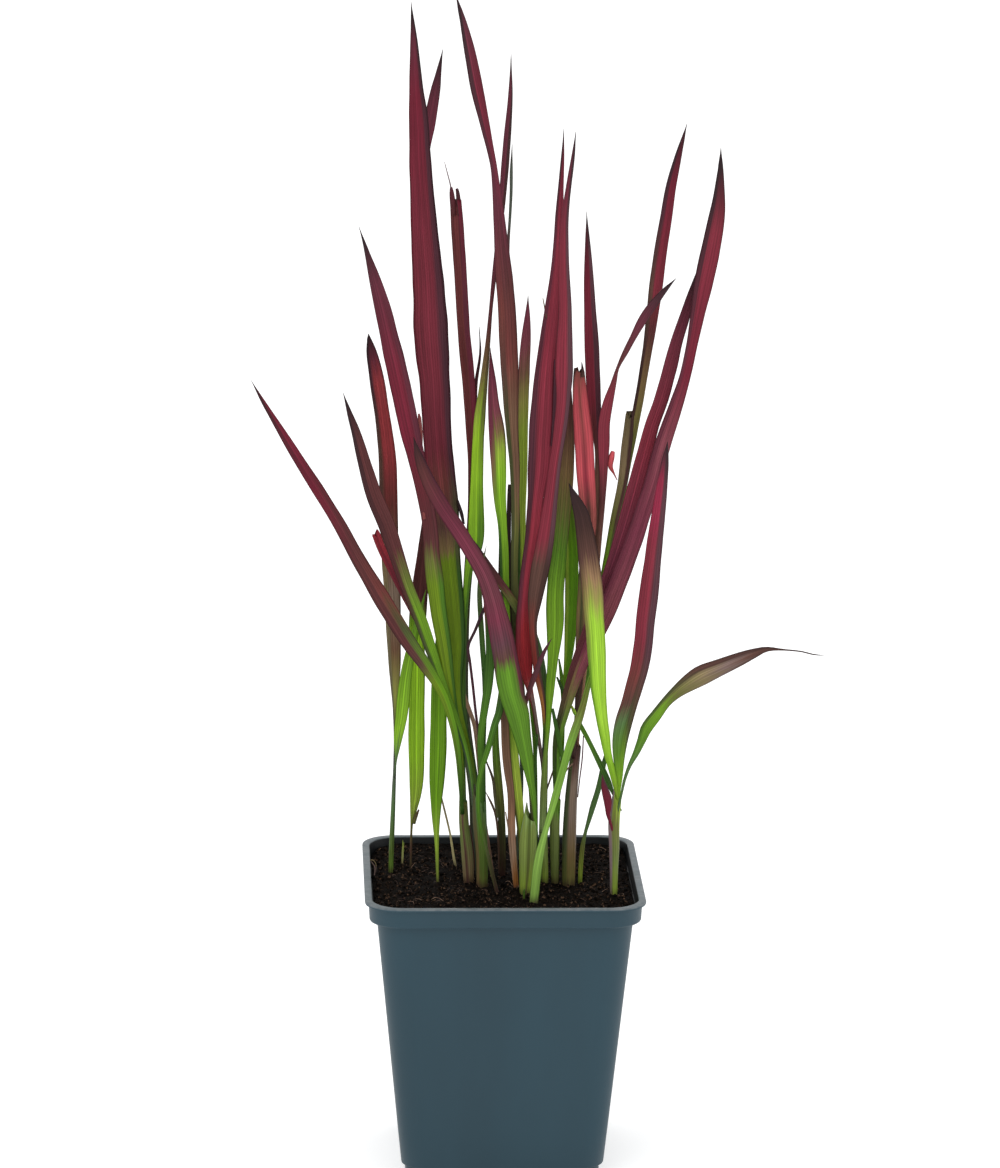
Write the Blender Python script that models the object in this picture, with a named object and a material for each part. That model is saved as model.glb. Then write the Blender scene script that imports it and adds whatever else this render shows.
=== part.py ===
"""Potted Japanese blood grass: a square nursery pot, its soil, and a clump of shoots and leaf blades.

The frame has +Z up and the front along -Y. Its origin is the middle of the pot's flat base. Sizes are in
millimetres and become metres where a mesh is made.
"""

import math
from collections import namedtuple

import bmesh
import bpy
from mathutils import Vector

MM = 0.001
GAP = 0.3

# The pot.
POT_HEIGHT = 95.0
LIP_HALF = 45.0
LIP_THICK = 1.0
BAND_HALF = 43.8
BAND_HEIGHT = 5.9
BAND_DRAFT = 0.3
BODY_TOP_HALF = 41.1
BODY_FOOT_HALF = 32.8
FOOT_INSET = 1.4
FOOT_HEIGHT = 4.4
WALL = 1.2
LEDGE_SLOPE = 0.4
FLOOR_THICK = 2.0
CORNER = 11.0
CORNER_STEPS = 5
DRAIN_HOLE_RADIUS = 3.5
DRAIN_HOLE_OFFSETS = (-18.0, 0.0, 18.0)

# The soil.
SOIL_TOP = 90.4
SOIL_RELIEF = 0.45
SOIL_BACK_RISE = 2.4
SOIL_RINGS = 10
SOIL_SIDE_STEPS = 8
FOOT_ABOVE_SOIL = 0.5

# The clump is drawn as seen by an eye at this height and distance in front of the pot.
EYE = Vector((-70.1, -1828.3, 609.8))

# A blade.
MIDRIB_THICK = 0.62
FOLD = 0.14
STATION_STEP = 11.0
FEWEST_STATIONS = 6
MOST_STATIONS = 18
SHEATH_SIDES = 8
SHEATH_STATIONS = 6

Leaf = namedtuple("Leaf", "name colour depths turn points rooted blunt", defaults=(False, False))
Sheath = namedtuple("Sheath", "name colour depths points")

CRIMSON = (0.19, 0.022, 0.038)
PLUM = (0.10, 0.025, 0.04)
BROWN_RED = (0.13, 0.035, 0.03)
CORAL = (0.45, 0.07, 0.08)
LEAF_GREEN = (0.13, 0.26, 0.03)
BRIGHT_GREEN = (0.27, 0.42, 0.04)
DARK_GREEN = (0.05, 0.13, 0.04)
OLIVE = (0.16, 0.17, 0.05)
STRAW = (0.50, 0.42, 0.22)
POT_GREY = (0.045, 0.075, 0.095)
PEAT = (0.014, 0.009, 0.006)

# Each sheath: (x, z, width) from the soil up, seen from the front, and its depth behind the middle
# plane at the soil and at its top.
SHEATHS = (
    Sheath("sheath_far_left", DARK_GREEN, (14.9, 14.9),
           ((-36.2, 95.0, 1.7), (-35.9, 104, 1.7), (-35.5, 115, 1.5), (-35.0, 130.5, 1.1))),
    Sheath("sheath_left_olive", OLIVE, (3.7, 3.4),
           ((-10.6, 92.0, 3.4), (-11.2, 100, 4.0), (-12.3, 110, 3.4), (-12.9, 118.5, 3.2))),
    Sheath("sheath_left_green", LEAF_GREEN, (-1.8, -1.8),
           ((-6.4, 91.0, 3.8), (-6.6, 100, 3.9), (-7.3, 110, 4.6), (-7.9, 118.5, 5.2))),
    Sheath("sheath_centre", LEAF_GREEN, (-11.0, -7.0),
           ((7.6, 88.0, 3.4), (8.2, 95, 5.0), (8.5, 104, 5.8), (8.7, 112, 5.2))),
    Sheath("sheath_centre_right", LEAF_GREEN, (1.0, 1.0),
           ((14.0, 91.3, 2.4), (13.8, 98, 2.5), (13.3, 106, 2.9), (13.1, 112.5, 3.1))),
    Sheath("sheath_right_green", LEAF_GREEN, (1.2, 1.2),
           ((17.4, 91.3, 2.5), (17.1, 103, 3.3), (17.1, 112, 3.3), (17.5, 119, 3.0))),
    Sheath("sheath_right_brown", OLIVE, (0.4, 2.2),
           ((21.6, 91.0, 4.4), (21.7, 105, 4.7), (22.1, 118, 4.2), (22.8, 128, 3.7), (23.7, 137, 3.2))),
    Sheath("sheath_right_shoot", OLIVE, (-14.6, -14.2),
           ((36.5, 87.0, 2.4), (36.5, 95, 2.7), (36.5, 103, 3.3), (36.3, 111, 3.7), (36.8, 119, 3.6))),
)

# Each leaf: its depths behind the middle plane, evenly spaced from foot to tip, how far its face turns
# from the front by its tip in degrees, and its (x, z, width) from foot to tip, seen from the front.
# A rooted leaf stands on the soil, and a blunt one ends in a torn edge instead of a point.
LEAVES = (
    Leaf("leaf_far_left", CRIMSON, (1.8, -11, -30), 25,
         ((-13.4, 120.3, 1.3), (-13.9, 128, 1.7), (-14.6, 135, 2.0), (-16.0, 143, 2.3), (-18.4, 151.5, 2.8),
          (-21.5, 158, 3.4), (-25.6, 164.3, 4.2), (-31, 172, 5.0), (-36.8, 181.5, 5.5), (-42.1, 190.5, 5.2),
          (-47.6, 200, 4.5), (-52.9, 210, 4.1), (-58.9, 220, 3.9), (-65.2, 230, 3.5), (-71.3, 240, 2.6),
          (-77.3, 250, 1.3), (-81.3, 257.3, 0))),
    Leaf("leaf_left_crossed", BROWN_RED, (-1.8, 0.6, 0, -1, -2), -20,
         ((-9.6, 120.3, 1.2), (-10.5, 128, 1.5), (-12.1, 136, 1.8), (-14.8, 145, 2.1), (-18.2, 154, 2.4),
          (-21.4, 163, 3.0), (-24, 170.5, 3.8), (-27.3, 180, 4.1), (-31.3, 190, 4.3), (-34.6, 200, 4.9),
          (-37.9, 210, 5.4), (-42, 220, 5.2), (-45, 230, 4.3), (-47.7, 240, 3.0), (-49.8, 246.5, 1.7),
          (-52, 253.3, 0))),
    Leaf("leaf_left_upright", BROWN_RED, (14.9, 21, 30), 25,
         ((-35.2, 131.8, 0.6), (-34.95, 140, 0.9), (-35, 150, 1.6), (-35.1, 157, 2.8), (-35.2, 165, 4.0),
          (-35.6, 175, 4.8), (-36, 187, 5.3), (-36.8, 200, 5.6), (-37.3, 215, 5.9), (-37.7, 230, 5.8),
          (-38.7, 240, 5.2), (-40.1, 250, 4.9), (-41.7, 260, 4.6), (-42.9, 266, 3.6), (-43.8, 270.5, 1.5),
          (-44, 272.5, 0))),
    Leaf("leaf_left_side_branch", DARK_GREEN, (13.6, 10.5, 9), 0,
         ((-34.6, 132.2, 0.7), (-33.9, 140, 2.8), (-32.9, 147, 4.0), (-32.3, 153, 4.1), (-31.6, 160, 3.7),
          (-30.2, 168, 3.1), (-28.3, 176, 2.3), (-26.6, 183, 1.3), (-25.2, 189, 0))),
    Leaf("leaf_left_broad_green", BRIGHT_GREEN, (18.6, 20, 17), 15,
         ((-29.7, 96, 0.8), (-29.6, 104, 0.8), (-29.4, 111, 0.9), (-28.8, 116, 2.4), (-28.2, 121, 3.8),
          (-27.9, 128, 4.8), (-28, 136, 5.3), (-28, 150, 5.2), (-27.9, 162, 5.1), (-28.2, 172, 5.3),
          (-27.7, 182, 5.6), (-26.9, 192, 5.0), (-26, 202, 4.0), (-25, 214, 2.6), (-24.2, 224, 1.3),
          (-23.7, 231, 0)), True),
    Leaf("leaf_left_short_green", BRIGHT_GREEN, (1.8, 11.5, 17), -10,
         ((-20.8, 91.6, 0.8), (-21.1, 100, 1.1), (-21.3, 106, 1.6), (-21.5, 112, 2.5), (-21.5, 118, 3.6),
          (-21.3, 126, 5.0), (-21, 135, 5.5), (-20.9, 146, 5.3), (-20.8, 157, 5.1), (-20.4, 167, 4.4),
          (-19.6, 178, 3.4), (-18.8, 190, 2.0), (-18.1, 200, 0)), True),
    Leaf("leaf_tall_left", CRIMSON, (-0.5, 7, 9, 9, 8, 8), 20,
         ((-8.4, 120.3, 1.4), (-9.6, 130, 1.6), (-11.8, 140, 1.9), (-14.0, 150, 2.2), (-14.9, 160, 3.4),
          (-14.9, 172, 5.0), (-16.1, 185, 6.2), (-17.8, 200, 7.2), (-19.3, 215, 9.0), (-20.9, 228, 9.5),
          (-21.9, 240, 9.2), (-22.7, 255, 9.8), (-23.9, 270, 11.0), (-24.9, 287, 10.3), (-26.2, 303, 8.8),
          (-27.7, 325, 7.1), (-28.4, 340, 6.2), (-29.3, 352, 4.4), (-30, 365, 2.5), (-31, 378.5, 0))),
    Leaf("leaf_tall_left_behind", PLUM, (16.5, 21, 25, 29, 34), -20,
         ((-6.6, 95.4, 1.2), (-7.0, 108, 1.2), (-7.9, 122, 1.2), (-9.2, 130, 1.3), (-11, 142, 1.5),
          (-12.6, 155, 1.8), (-14, 170, 2.4), (-16.5, 190, 3.2), (-20, 215, 4.0), (-23.5, 240, 4.4),
          (-26, 270, 4.6), (-27.5, 295, 4.6), (-27.6, 315, 4.4), (-26.9, 330, 4.2), (-25, 340, 4.0),
          (-23.2, 350, 3.2), (-22.3, 355, 2.1), (-20.9, 363.5, 0)), True),
    Leaf("leaf_left_tilted", PLUM, (2.6, 1.2, -0.5, -3, -8, -14), -25,
         ((-12.4, 120.3, 1.2), (-12.9, 130, 1.5), (-13.9, 140, 1.8), (-16, 150, 2.4), (-17.8, 161, 3.6),
          (-19.3, 171, 4.6), (-21, 181, 5.2), (-22.1, 190, 5.5), (-23.3, 200, 5.3), (-24.2, 211, 4.9),
          (-26.3, 222, 4.9), (-28.5, 232, 5.6), (-30.4, 240, 6.2), (-32.5, 250, 6.6), (-34.7, 260, 6.5),
          (-37, 270, 5.9), (-39.3, 280, 5.3), (-42, 290, 3.7), (-44.9, 300, 1.3), (-47.1, 306.8, 0))),
    Leaf("leaf_stub_red", CRIMSON, (9.0, 11, 10), 15,
         ((-9.6, 93.3, 1.0), (-10, 107, 1.0), (-10.6, 122, 1.0), (-13, 138, 1.3), (-16.5, 150, 1.6),
          (-20, 161, 1.8), (-23.6, 169.5, 2.0), (-28, 179, 2.2), (-32.6, 188, 2.4), (-36.7, 196.5, 2.7),
          (-39.6, 202.5, 2.8), (-41.7, 208.2, 2.8)), True, True),
    Leaf("leaf_sliver", CORAL, (5.6, 5.4, 5.2), 0,
         ((-28, 222, 0.9), (-27.5, 230, 1.3), (-27.2, 239, 1.4), (-27.8, 246.4, 1.3)), False, True),
    Leaf("leaf_long_centre", PLUM, (7.4, 9, 10, 11, 11), 30,
         ((-8.0, 93.0, 1.1), (-8.8, 108, 1.1), (-9.9, 122, 1.1), (-11.5, 135, 1.4), (-12.9, 150, 1.7),
          (-13.2, 165, 1.8), (-12.9, 178, 1.8), (-12.3, 188, 2.0), (-11.4, 196, 2.8), (-9.4, 203.5, 4.6),
          (-9.2, 211, 5.3), (-9.2, 221, 4.3), (-8.9, 235, 3.8), (-8.4, 245, 3.6), (-7.4, 255, 2.7),
          (-6, 270, 1.6), (-5.2, 280, 1.2), (-4.3, 290, 1.4), (-2.8, 305, 1.9), (-1.5, 320, 2.4),
          (-0.8, 330, 2.5), (-0.1, 340, 2.1), (0.5, 350, 1.3), (0.6, 362, 0)), True),
    Leaf("leaf_broken_brown", BROWN_RED, (14, 18.5, 26), -30,
         ((-3.6, 94.8, 1.1), (-6, 108, 1.1), (-9, 122.5, 1.1), (-11, 138, 1.4), (-12.2, 155, 1.8),
          (-12.4, 170, 2.2), (-12.2, 185, 2.6), (-11.3, 200, 3.0), (-10.4, 215, 3.3), (-10.3, 230, 3.5),
          (-11, 242, 3.7), (-12.0, 257, 4.2), (-13.6, 273, 4.1), (-14.7, 290, 4.1), (-15.4, 300, 4.1),
          (-15.9, 307, 4.1), (-16.5, 315.3, 3.8)), True, True),
    Leaf("leaf_twisted", OLIVE, (-6.2, 1.4, 2.4, -2, -12, -26), 35,
         ((9.6, 113.6, 1.2), (8.9, 124, 1.3), (8.0, 135, 1.6), (6.4, 150, 2.0), (4.6, 168, 2.4),
          (3.4, 185, 2.6), (3.1, 198, 2.4), (3.3, 210, 2.6), (3.2, 220, 2.8), (2.9, 230, 3.3),
          (2.1, 240, 3.9), (1.5, 250, 4.8), (1.1, 260, 5.5), (0.5, 270, 5.9), (0, 280, 5.7),
          (-0.9, 290, 5.5), (-1.9, 300, 4.7), (-2.8, 310, 3.6), (-3.85, 320, 2.6), (-4.6, 326, 2.1),
          (-5.7, 331.5, 2.3), (-7.6, 340, 3.1), (-9.9, 350, 3.9), (-11.9, 360, 3.7), (-14.1, 370, 2.5),
          (-17, 381, 0))),
    Leaf("leaf_pink_tip", LEAF_GREEN, (-3.6, -3.8, -0.5, 2, 4.5, 7), -15,
         ((6.9, 89.8, 1.8), (6.8, 97, 2.0), (6.4, 105, 2.4), (5.8, 112, 2.8), (4.9, 120, 3.2),
          (3.8, 130, 3.4), (2.9, 140, 3.0), (2.3, 150, 2.6), (1.9, 160, 2.4), (1.2, 172, 2.4),
          (0.3, 186, 2.8), (-0.2, 200, 3.0), (-0.8, 210, 3.0), (-1.7, 219, 4.0), (-2.2, 230, 4.9),
          (-2.8, 240, 5.2), (-4, 250, 3.6), (-4.5, 258, 2.4), (-5.2, 268, 0)), True),
    Leaf("leaf_brown_tip", BRIGHT_GREEN, (8.0, 10.5, 16), 20,
         ((11, 93.4, 1.2), (11, 106, 1.2), (10.8, 120, 1.2), (10.2, 138, 1.3), (8.6, 155, 1.6),
          (6.8, 175, 1.9), (5.8, 195, 2.1), (5.5, 215, 2.3), (5.7, 230, 2.6), (5.5, 240, 3.1),
          (5.5, 250, 3.4), (5.7, 262, 3.7), (6.1, 270, 3.2), (6.4, 276, 2.3), (6.7, 285, 0)), True),
    Leaf("leaf_plum_crossing", CRIMSON, (-8.0, -12, -10), 0,
         ((10.6, 113.2, 1.2), (10.1, 119, 1.7), (9.1, 125, 2.6), (7.9, 132, 4.1), (6.3, 140, 5.5),
          (4.6, 148, 7.4), (2.8, 154, 8.2), (1.1, 163, 8.0), (-0.5, 172, 7.8), (-2.2, 180, 6.9),
          (-4, 187, 6.0), (-6.6, 194, 5.3), (-10.4, 201, 5.0), (-15, 208.5, 5.0), (-20, 216, 5.0),
          (-24.4, 224, 4.4), (-27.6, 232, 2.9), (-29.5, 239, 0))),
    Leaf("leaf_green_crossing", DARK_GREEN, (9.5, 6, 3.5, 0.2, -1), 0,
         ((13.2, 93.8, 1.1), (13.2, 107, 1.1), (13.2, 120, 1.4), (13.5, 134, 1.8), (13.8, 143, 2.0),
          (13.6, 152, 2.2), (12.8, 160, 2.4), (11.3, 168, 2.6), (8.6, 175.5, 2.8), (5, 181.5, 2.8),
          (1.8, 186.5, 2.8), (-1.6, 191.5, 2.6), (-5.2, 197, 2.0), (-8.6, 202.5, 1.2), (-11, 206.5, 0)),
         True),
    Leaf("leaf_purple_left", DARK_GREEN, (-3.4, -7.5, -7), 0,
         ((-6.7, 120.3, 1.2), (-6.9, 128, 1.8), (-7.2, 136, 2.3), (-6.9, 143, 2.4), (-6, 150, 2.5),
          (-5, 157, 2.9), (-4.4, 165, 2.9), (-4.6, 172, 2.6), (-5, 180, 2.6), (-5.7, 187, 2.4),
          (-6.9, 193, 1.8), (-8.5, 199, 0))),
    Leaf("leaf_narrow_strand", LEAF_GREEN, (-10.5, -10, -7), 0,
         ((-1.0, 88.4, 1.3), (-4.6, 100, 1.3), (-7.4, 112, 1.3), (-7.9, 122, 1.5), (-6.9, 129, 1.7),
          (-5.8, 133, 1.8), (-4.7, 136.7, 2.0), (-3.8, 140.3, 2.1), (-2.8, 144, 2.3), (-1.7, 147.2, 2.4),
          (-1, 150, 2.1), (-0.9, 153.3, 1.3), (-1.4, 158, 0)), True),
    Leaf("leaf_dark_narrow", DARK_GREEN, (-0.8, -2.2, -2.6), 0,
         ((-5.9, 120.3, 1.0), (-6.2, 135, 1.2), (-6, 150, 1.4), (-6.2, 160, 1.6), (-6.9, 170, 1.8),
          (-7.6, 180, 1.7), (-8, 188, 1.6), (-7.4, 196, 1.3), (-5.9, 203.5, 0))),
    Leaf("thread_kinked_dark", PLUM, (0.8, -3, -4.5), 0,
         ((-7.6, 120.3, 0.8), (-7.6, 132, 0.8), (-8, 141, 0.8), (-8.9, 148, 0.9), (-9.9, 157, 0.9),
          (-10.9, 165, 0.9), (-11.5, 170.2, 0.9), (-9.3, 175.5, 1.0), (-6.6, 182.3, 1.0), (-4, 188.5, 0))),
    Leaf("blade_dry_pink", BROWN_RED, (11, 12, 12), 0,
         ((-2.6, 94.2, 0.9), (-5, 108, 0.9), (-7.2, 124, 1.0), (-8.2, 135, 1.2), (-9, 142.5, 1.4),
          (-9.9, 146, 1.4), (-11.5, 150.5, 1.4), (-13.2, 155, 1.4), (-16.5, 160.5, 1.3), (-19, 167, 0)),
         True),
    Leaf("leaf_tall_centre", PLUM, (2.6, -0.6, -3.5, -5, -8, -12), 20,
         ((13.2, 114, 1.0), (13.2, 122, 1.0), (12.9, 130, 1.1), (11.9, 137, 1.2), (10.9, 143, 1.3),
          (9.8, 150, 1.4), (8.2, 157, 2.4), (7.1, 163, 4.4), (6.7, 170, 5.8), (6.5, 178, 5.4),
          (6.7, 187, 4.6), (7.6, 197, 4.4), (8.9, 208, 4.6), (9.7, 218, 5.3), (10.7, 229, 7.1),
          (11.2, 240, 7.7), (11.7, 250, 7.3), (12.3, 260, 6.5), (13.5, 272, 5.6), (14.3, 280, 4.9),
          (15.2, 290, 3.6), (15.9, 300, 3.0), (16.3, 310, 2.6), (16.7, 320, 1.8), (17.2, 330, 1.0),
          (17.5, 338.5, 0))),
    Leaf("leaf_tall_centre_right", CRIMSON, (1.7, -1.5, -7, -10, -16, -24), -30,
         ((14.1, 114, 0.9), (14.1, 125, 1.0), (14, 135, 1.2), (13.5, 143, 1.4), (13, 150, 1.6),
          (12.2, 155, 2.0), (11, 161, 2.4), (9.9, 170, 2.4), (9.3, 178, 2.8), (9.9, 186, 4.6),
          (11.1, 194, 5.8), (12.5, 202, 5.8), (13.6, 210, 5.1), (14.8, 220, 4.3), (15.9, 230, 3.7),
          (17.2, 240, 4.0), (18.2, 250, 4.4), (18.45, 260, 5.6), (18.5, 270, 5.1), (18.6, 280, 4.2),
          (18.2, 290, 3.6), (18, 300, 3.0), (18.2, 310, 2.4), (19.3, 320, 1.7), (20.6, 330, 1.0),
          (21.3, 337.5, 0))),
    Leaf("leaf_centre_green", LEAF_GREEN, (-0.2, -1.8, 0.5, 3, 4), 10,
         ((13.1, 114, 2.2), (13.3, 122, 2.2), (13.5, 129, 1.8), (14, 137, 1.5), (14.5, 144, 1.6),
          (14.8, 150, 1.9), (15, 155, 2.7), (15.5, 162, 3.1), (15.8, 166, 3.5), (16.2, 172, 4.7),
          (16.4, 178, 5.6), (16.3, 185, 5.8), (16.6, 192, 5.5), (17.2, 198, 5.1), (18, 206, 4.8),
          (18.8, 216, 4.8), (19.4, 226, 4.9), (19.8, 236, 4.4), (19.9, 246, 3.3), (19.8, 255, 1.9),
          (19.6, 263, 0))),
    Leaf("leaf_narrow_green", LEAF_GREEN, (2.4, 6, 9), 0,
         ((17.9, 120.6, 1.0), (18.9, 130, 1.1), (19.3, 138, 1.1), (19.4, 146, 1.2), (19.7, 154, 1.3),
          (20.2, 161, 1.9), (20.9, 168, 2.9), (21.4, 176, 3.9), (21.7, 185, 4.4), (21.6, 195, 4.4),
          (21.3, 204, 4.2), (20.8, 212, 3.4), (20.3, 220, 2.2), (19.9, 229, 0))),
    Leaf("blade_small_dark", PLUM, (-7.1, -7.8, -8.5), 0,
         ((10.6, 113.2, 0.8), (9.4, 123, 0.8), (7.8, 133, 0.9), (6.6, 143, 1.1), (6.9, 150, 1.3),
          (8.4, 155.5, 1.6), (10.2, 161, 1.8), (12, 166, 1.5), (13.6, 169.6, 1.0), (15.4, 172.8, 0))),
    Leaf("leaf_brown_sheath", BROWN_RED, (-7.3, -5, -5), 0,
         ((5.0, 90.0, 1.6), (4.2, 96, 2.0), (3.5, 102, 2.4), (3, 109, 2.5), (2.9, 116, 2.4),
          (2.6, 122, 2.3), (1.6, 129, 2.6), (0.9, 136, 2.7), (0.6, 143, 2.6), (0.1, 150, 2.2),
          (-0.4, 158, 1.4), (-0.8, 166, 0)), True),
    Leaf("leaf_olive_sheath", OLIVE, (7.4, 2, -2), 0,
         ((0.3, 93.2, 1.9), (0.3, 98, 1.9), (0.2, 104, 2.0), (-0.1, 110, 2.3), (-0.6, 117, 2.5),
          (-1.3, 124, 2.6), (-2, 131, 2.6), (-2.4, 138, 2.2), (-2.3, 145, 1.6), (-1.6, 152, 0.9),
          (-1.2, 158, 0)), True),
    Leaf("leaf_front_green", BRIGHT_GREEN, (-22, -15, -6), 20,
         ((10.2, 85.2, 2.8), (10.9, 91, 2.9), (11.5, 96, 3.0), (12.3, 101, 2.8), (13.3, 105.5, 2.2),
          (14.5, 110.5, 1.9), (15.9, 115.5, 2.2), (17.1, 120, 2.4), (18.4, 125, 2.5), (19.7, 130, 2.5),
          (21, 135, 2.6), (22.5, 140, 2.8), (24.1, 145, 2.7), (25.6, 150, 2.2), (26.9, 155.5, 1.8),
          (28.2, 161, 1.3), (29.2, 166, 0)), True),
    Leaf("leaf_coral_folded", CORAL, (0.6, -0.5, -6), 0,
         ((23.2, 138.8, 1.2), (23.8, 148, 1.6), (24.4, 158, 2.4), (24.6, 168, 3.0), (24.8, 179, 3.2),
          (25.4, 190, 3.6), (26.4, 202, 4.2), (26.9, 211, 5.0), (26.4, 219, 5.5), (25.7, 227, 5.9),
          (25.2, 235, 6.0), (24.6, 242.5, 5.8), (23.8, 250, 5.0), (23.3, 257, 4.1), (23.2, 262, 3.2)),
         False, True),
    Leaf("leaf_slim_right", PLUM, (9, 10.5, 15), -20,
         ((23, 94, 1.2), (23.4, 115, 1.2), (23.9, 139, 1.2), (25, 158, 1.4), (26.2, 170, 1.6),
          (27.8, 185, 1.8), (29, 198, 2.0), (29.6, 212, 2.2), (29.7, 225, 2.2), (29.4, 235, 1.8),
          (28.6, 243, 3.6), (28.2, 250, 4.3), (27.6, 260, 4.7), (27.1, 270, 4.7), (26.5, 280, 3.9),
          (26, 290, 3.2), (25.6, 300, 2.0), (25, 312, 0)), True),
    Leaf("leaf_slender_crossing", CRIMSON, (2.2, 3.2, 3, -2, -14, -28), 30,
         ((24.2, 138.8, 1.0), (25, 150, 1.1), (26.5, 165, 1.3), (28.3, 180, 1.5), (29.6, 195, 1.6),
          (30.3, 205, 1.6), (31, 216, 1.9), (31.4, 226, 2.5), (31.4, 236, 3.6), (31.4, 243, 3.8),
          (32.5, 250, 3.3), (34.3, 257, 1.8), (35.5, 261.5, 1.0), (37.8, 266.5, 1.8), (40.3, 271.5, 2.1),
          (43.2, 277, 2.8), (46.1, 281.5, 2.8), (49.5, 286, 1.8), (53.7, 290.5, 0))),
    Leaf("leaf_stub_olive", OLIVE, (3.8, 5.8, 6, 5, 4), 10,
         ((23.6, 138.8, 1.0), (25.4, 150, 1.1), (27.5, 165, 1.4), (29.8, 180, 1.8), (32, 194, 2.1),
          (33.6, 204, 2.2), (35.1, 212.5, 2.5), (37.1, 222, 2.9), (38, 228, 3.3), (38.5, 234, 3.4),
          (39.1, 240, 3.3), (39.6, 247, 2.7)),
         False, True),
    Leaf("leaf_right_olive", OLIVE, (14, 19, 34), -25,
         ((23, 94.5, 1.1), (22.6, 118, 1.1), (23.4, 138, 1.1), (25, 150, 1.2), (27.6, 165, 1.4),
          (30.3, 180, 1.8), (32.8, 195, 2.4), (35, 207, 2.6), (37, 219, 2.8), (38.8, 230, 2.9),
          (40.7, 241, 3.0), (42.5, 251, 3.0), (44, 261, 3.0), (45.3, 270, 3.3), (46.5, 280, 4.1),
          (47.6, 290, 4.4), (48.8, 300, 4.2), (50.3, 310, 3.9), (51.7, 320, 3.4), (53.7, 329, 2.4),
          (55.2, 335, 1.2), (56.4, 340, 0)), True),
    Leaf("leaf_right_pair_front", CRIMSON, (0.2, -4, -6, -7, -10, -18), 25,
         ((17.9, 120.6, 1.2), (17.7, 130, 1.4), (18.3, 140, 1.8), (20.2, 148, 2.2), (22.4, 155.5, 2.8),
          (24.9, 163, 3.6), (28, 170.5, 4.7), (31.8, 179, 5.7), (35.3, 188, 6.0), (38.6, 197, 5.8),
          (41.7, 206, 5.5), (44.4, 215, 5.4), (46.8, 223, 5.2), (48.8, 231, 5.2), (51, 239, 5.1),
          (54.2, 249, 4.5), (57.1, 259, 3.6), (59.1, 269, 3.7), (60.8, 279, 4.6), (62.7, 290, 6.0),
          (64.4, 299, 6.1), (65.8, 307, 5.6), (66.8, 315, 4.2), (67.2, 324, 2.2), (67.3, 332.5, 0))),
    Leaf("leaf_right_pair_behind", PLUM, (1.3, -1.6, -3.2, -4, -5, -6), 20,
         ((17.0, 120.6, 1.0), (16.7, 130, 1.3), (17, 140, 1.6), (18.7, 148, 2.0), (20.7, 156, 2.4),
          (23, 164, 2.9), (25.7, 172, 3.2), (29, 181, 3.5), (32.2, 190, 3.9), (35.2, 199, 4.3),
          (37.9, 208, 4.9), (40.3, 217, 5.3), (42.6, 226, 5.2), (44.6, 234, 5.0), (46.8, 243, 4.6),
          (49.5, 251, 4.6), (52.1, 261, 4.4), (54.2, 270, 3.9), (56.9, 279, 3.3), (59, 287, 2.1),
          (60.7, 294, 0))),
    Leaf("leaf_bright_green", BRIGHT_GREEN, (-14.6, -15, -8), 0,
         ((37.0, 120.6, 0.9), (36.3, 125, 1.8), (35.1, 130, 2.2), (33.8, 135, 2.7), (33, 140, 3.3),
          (32.1, 145, 3.7), (31.4, 150, 4.2), (30.7, 156, 5.0), (30.1, 165.5, 5.7), (29.4, 175.4, 6.2),
          (28.8, 182, 6.5), (28.3, 188.7, 6.8), (27.5, 195.4, 6.9), (26.3, 204, 6.2), (25.4, 209.5, 5.5),
          (24.2, 214.5, 4.6), (22.4, 219, 2.9), (20.3, 224, 0))),
    Leaf("leaf_right_upright", CRIMSON, (-13.4, -20, -34), -25,
         ((37.6, 120.6, 1.1), (37.8, 127, 2.3), (37.6, 133, 3.7), (37.9, 139, 5.0), (39, 145, 5.5),
          (40.7, 151, 5.4), (42.3, 157, 5.6), (43.8, 163, 5.9), (45, 171, 6.0), (45.6, 179, 6.1),
          (46.5, 187, 6.2), (47.4, 196, 5.5), (48.4, 206, 5.0), (49.5, 216, 4.2), (50.6, 226, 3.2),
          (51.3, 232, 2.1), (51.8, 237.5, 0))),
    Leaf("leaf_right_arching", OLIVE, (-15.4, -25, -40), 15,
         ((38.5, 120.6, 0.8), (39.6, 126, 1.0), (41.1, 130.5, 1.3), (43.1, 134.6, 2.0), (44.8, 138.8, 2.8),
          (46.4, 143, 3.7), (49.4, 147.2, 3.7), (52.4, 151.4, 3.3), (55.4, 154.5, 3.9), (59, 157.4, 5.2),
          (64, 160.6, 6.4), (70, 163.3, 5.4), (76, 165.9, 4.4), (81, 168, 3.0), (85, 169.3, 1.6),
          (90, 169.1, 0.6), (96, 168.5, 0.45), (100, 167.5, 0.4), (103.5, 167.2, 0))),
    Leaf("leaf_right_small_red", CRIMSON, (-15.8, -18, -20), 0,
         ((33.9, 113.4, 0.9), (34.3, 117, 2.3), (33.9, 120, 2.8), (32.9, 123.5, 2.0), (32.2, 127.5, 0))),
    Leaf("leaf_right_thin_dark", DARK_GREEN, (-12.6, -10, -6), 0,
         ((36.1, 120.6, 0.9), (34.5, 124.3, 1.9), (32.9, 128.1, 1.9), (31.2, 131.6, 1.8), (29.5, 135.1, 1.6),
          (27.9, 138.4, 1.5), (26.2, 141.7, 1.5), (24.5, 144.9, 1.3), (22.8, 148.3, 0))),
    Leaf("leaf_thin_petiole", LEAF_GREEN, (1.8, -2, -5), 0,
         ((25.4, 92, 1.3), (25.6, 98, 1.6), (26.1, 103, 1.5), (27, 108, 1.1), (28.2, 112.5, 1.5),
          (29.4, 117, 1.9), (30.6, 121, 1.8), (31.6, 125, 1.9), (32.4, 129.5, 1.7), (33.3, 134, 1.2),
          (34, 138, 0)), True),
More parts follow.
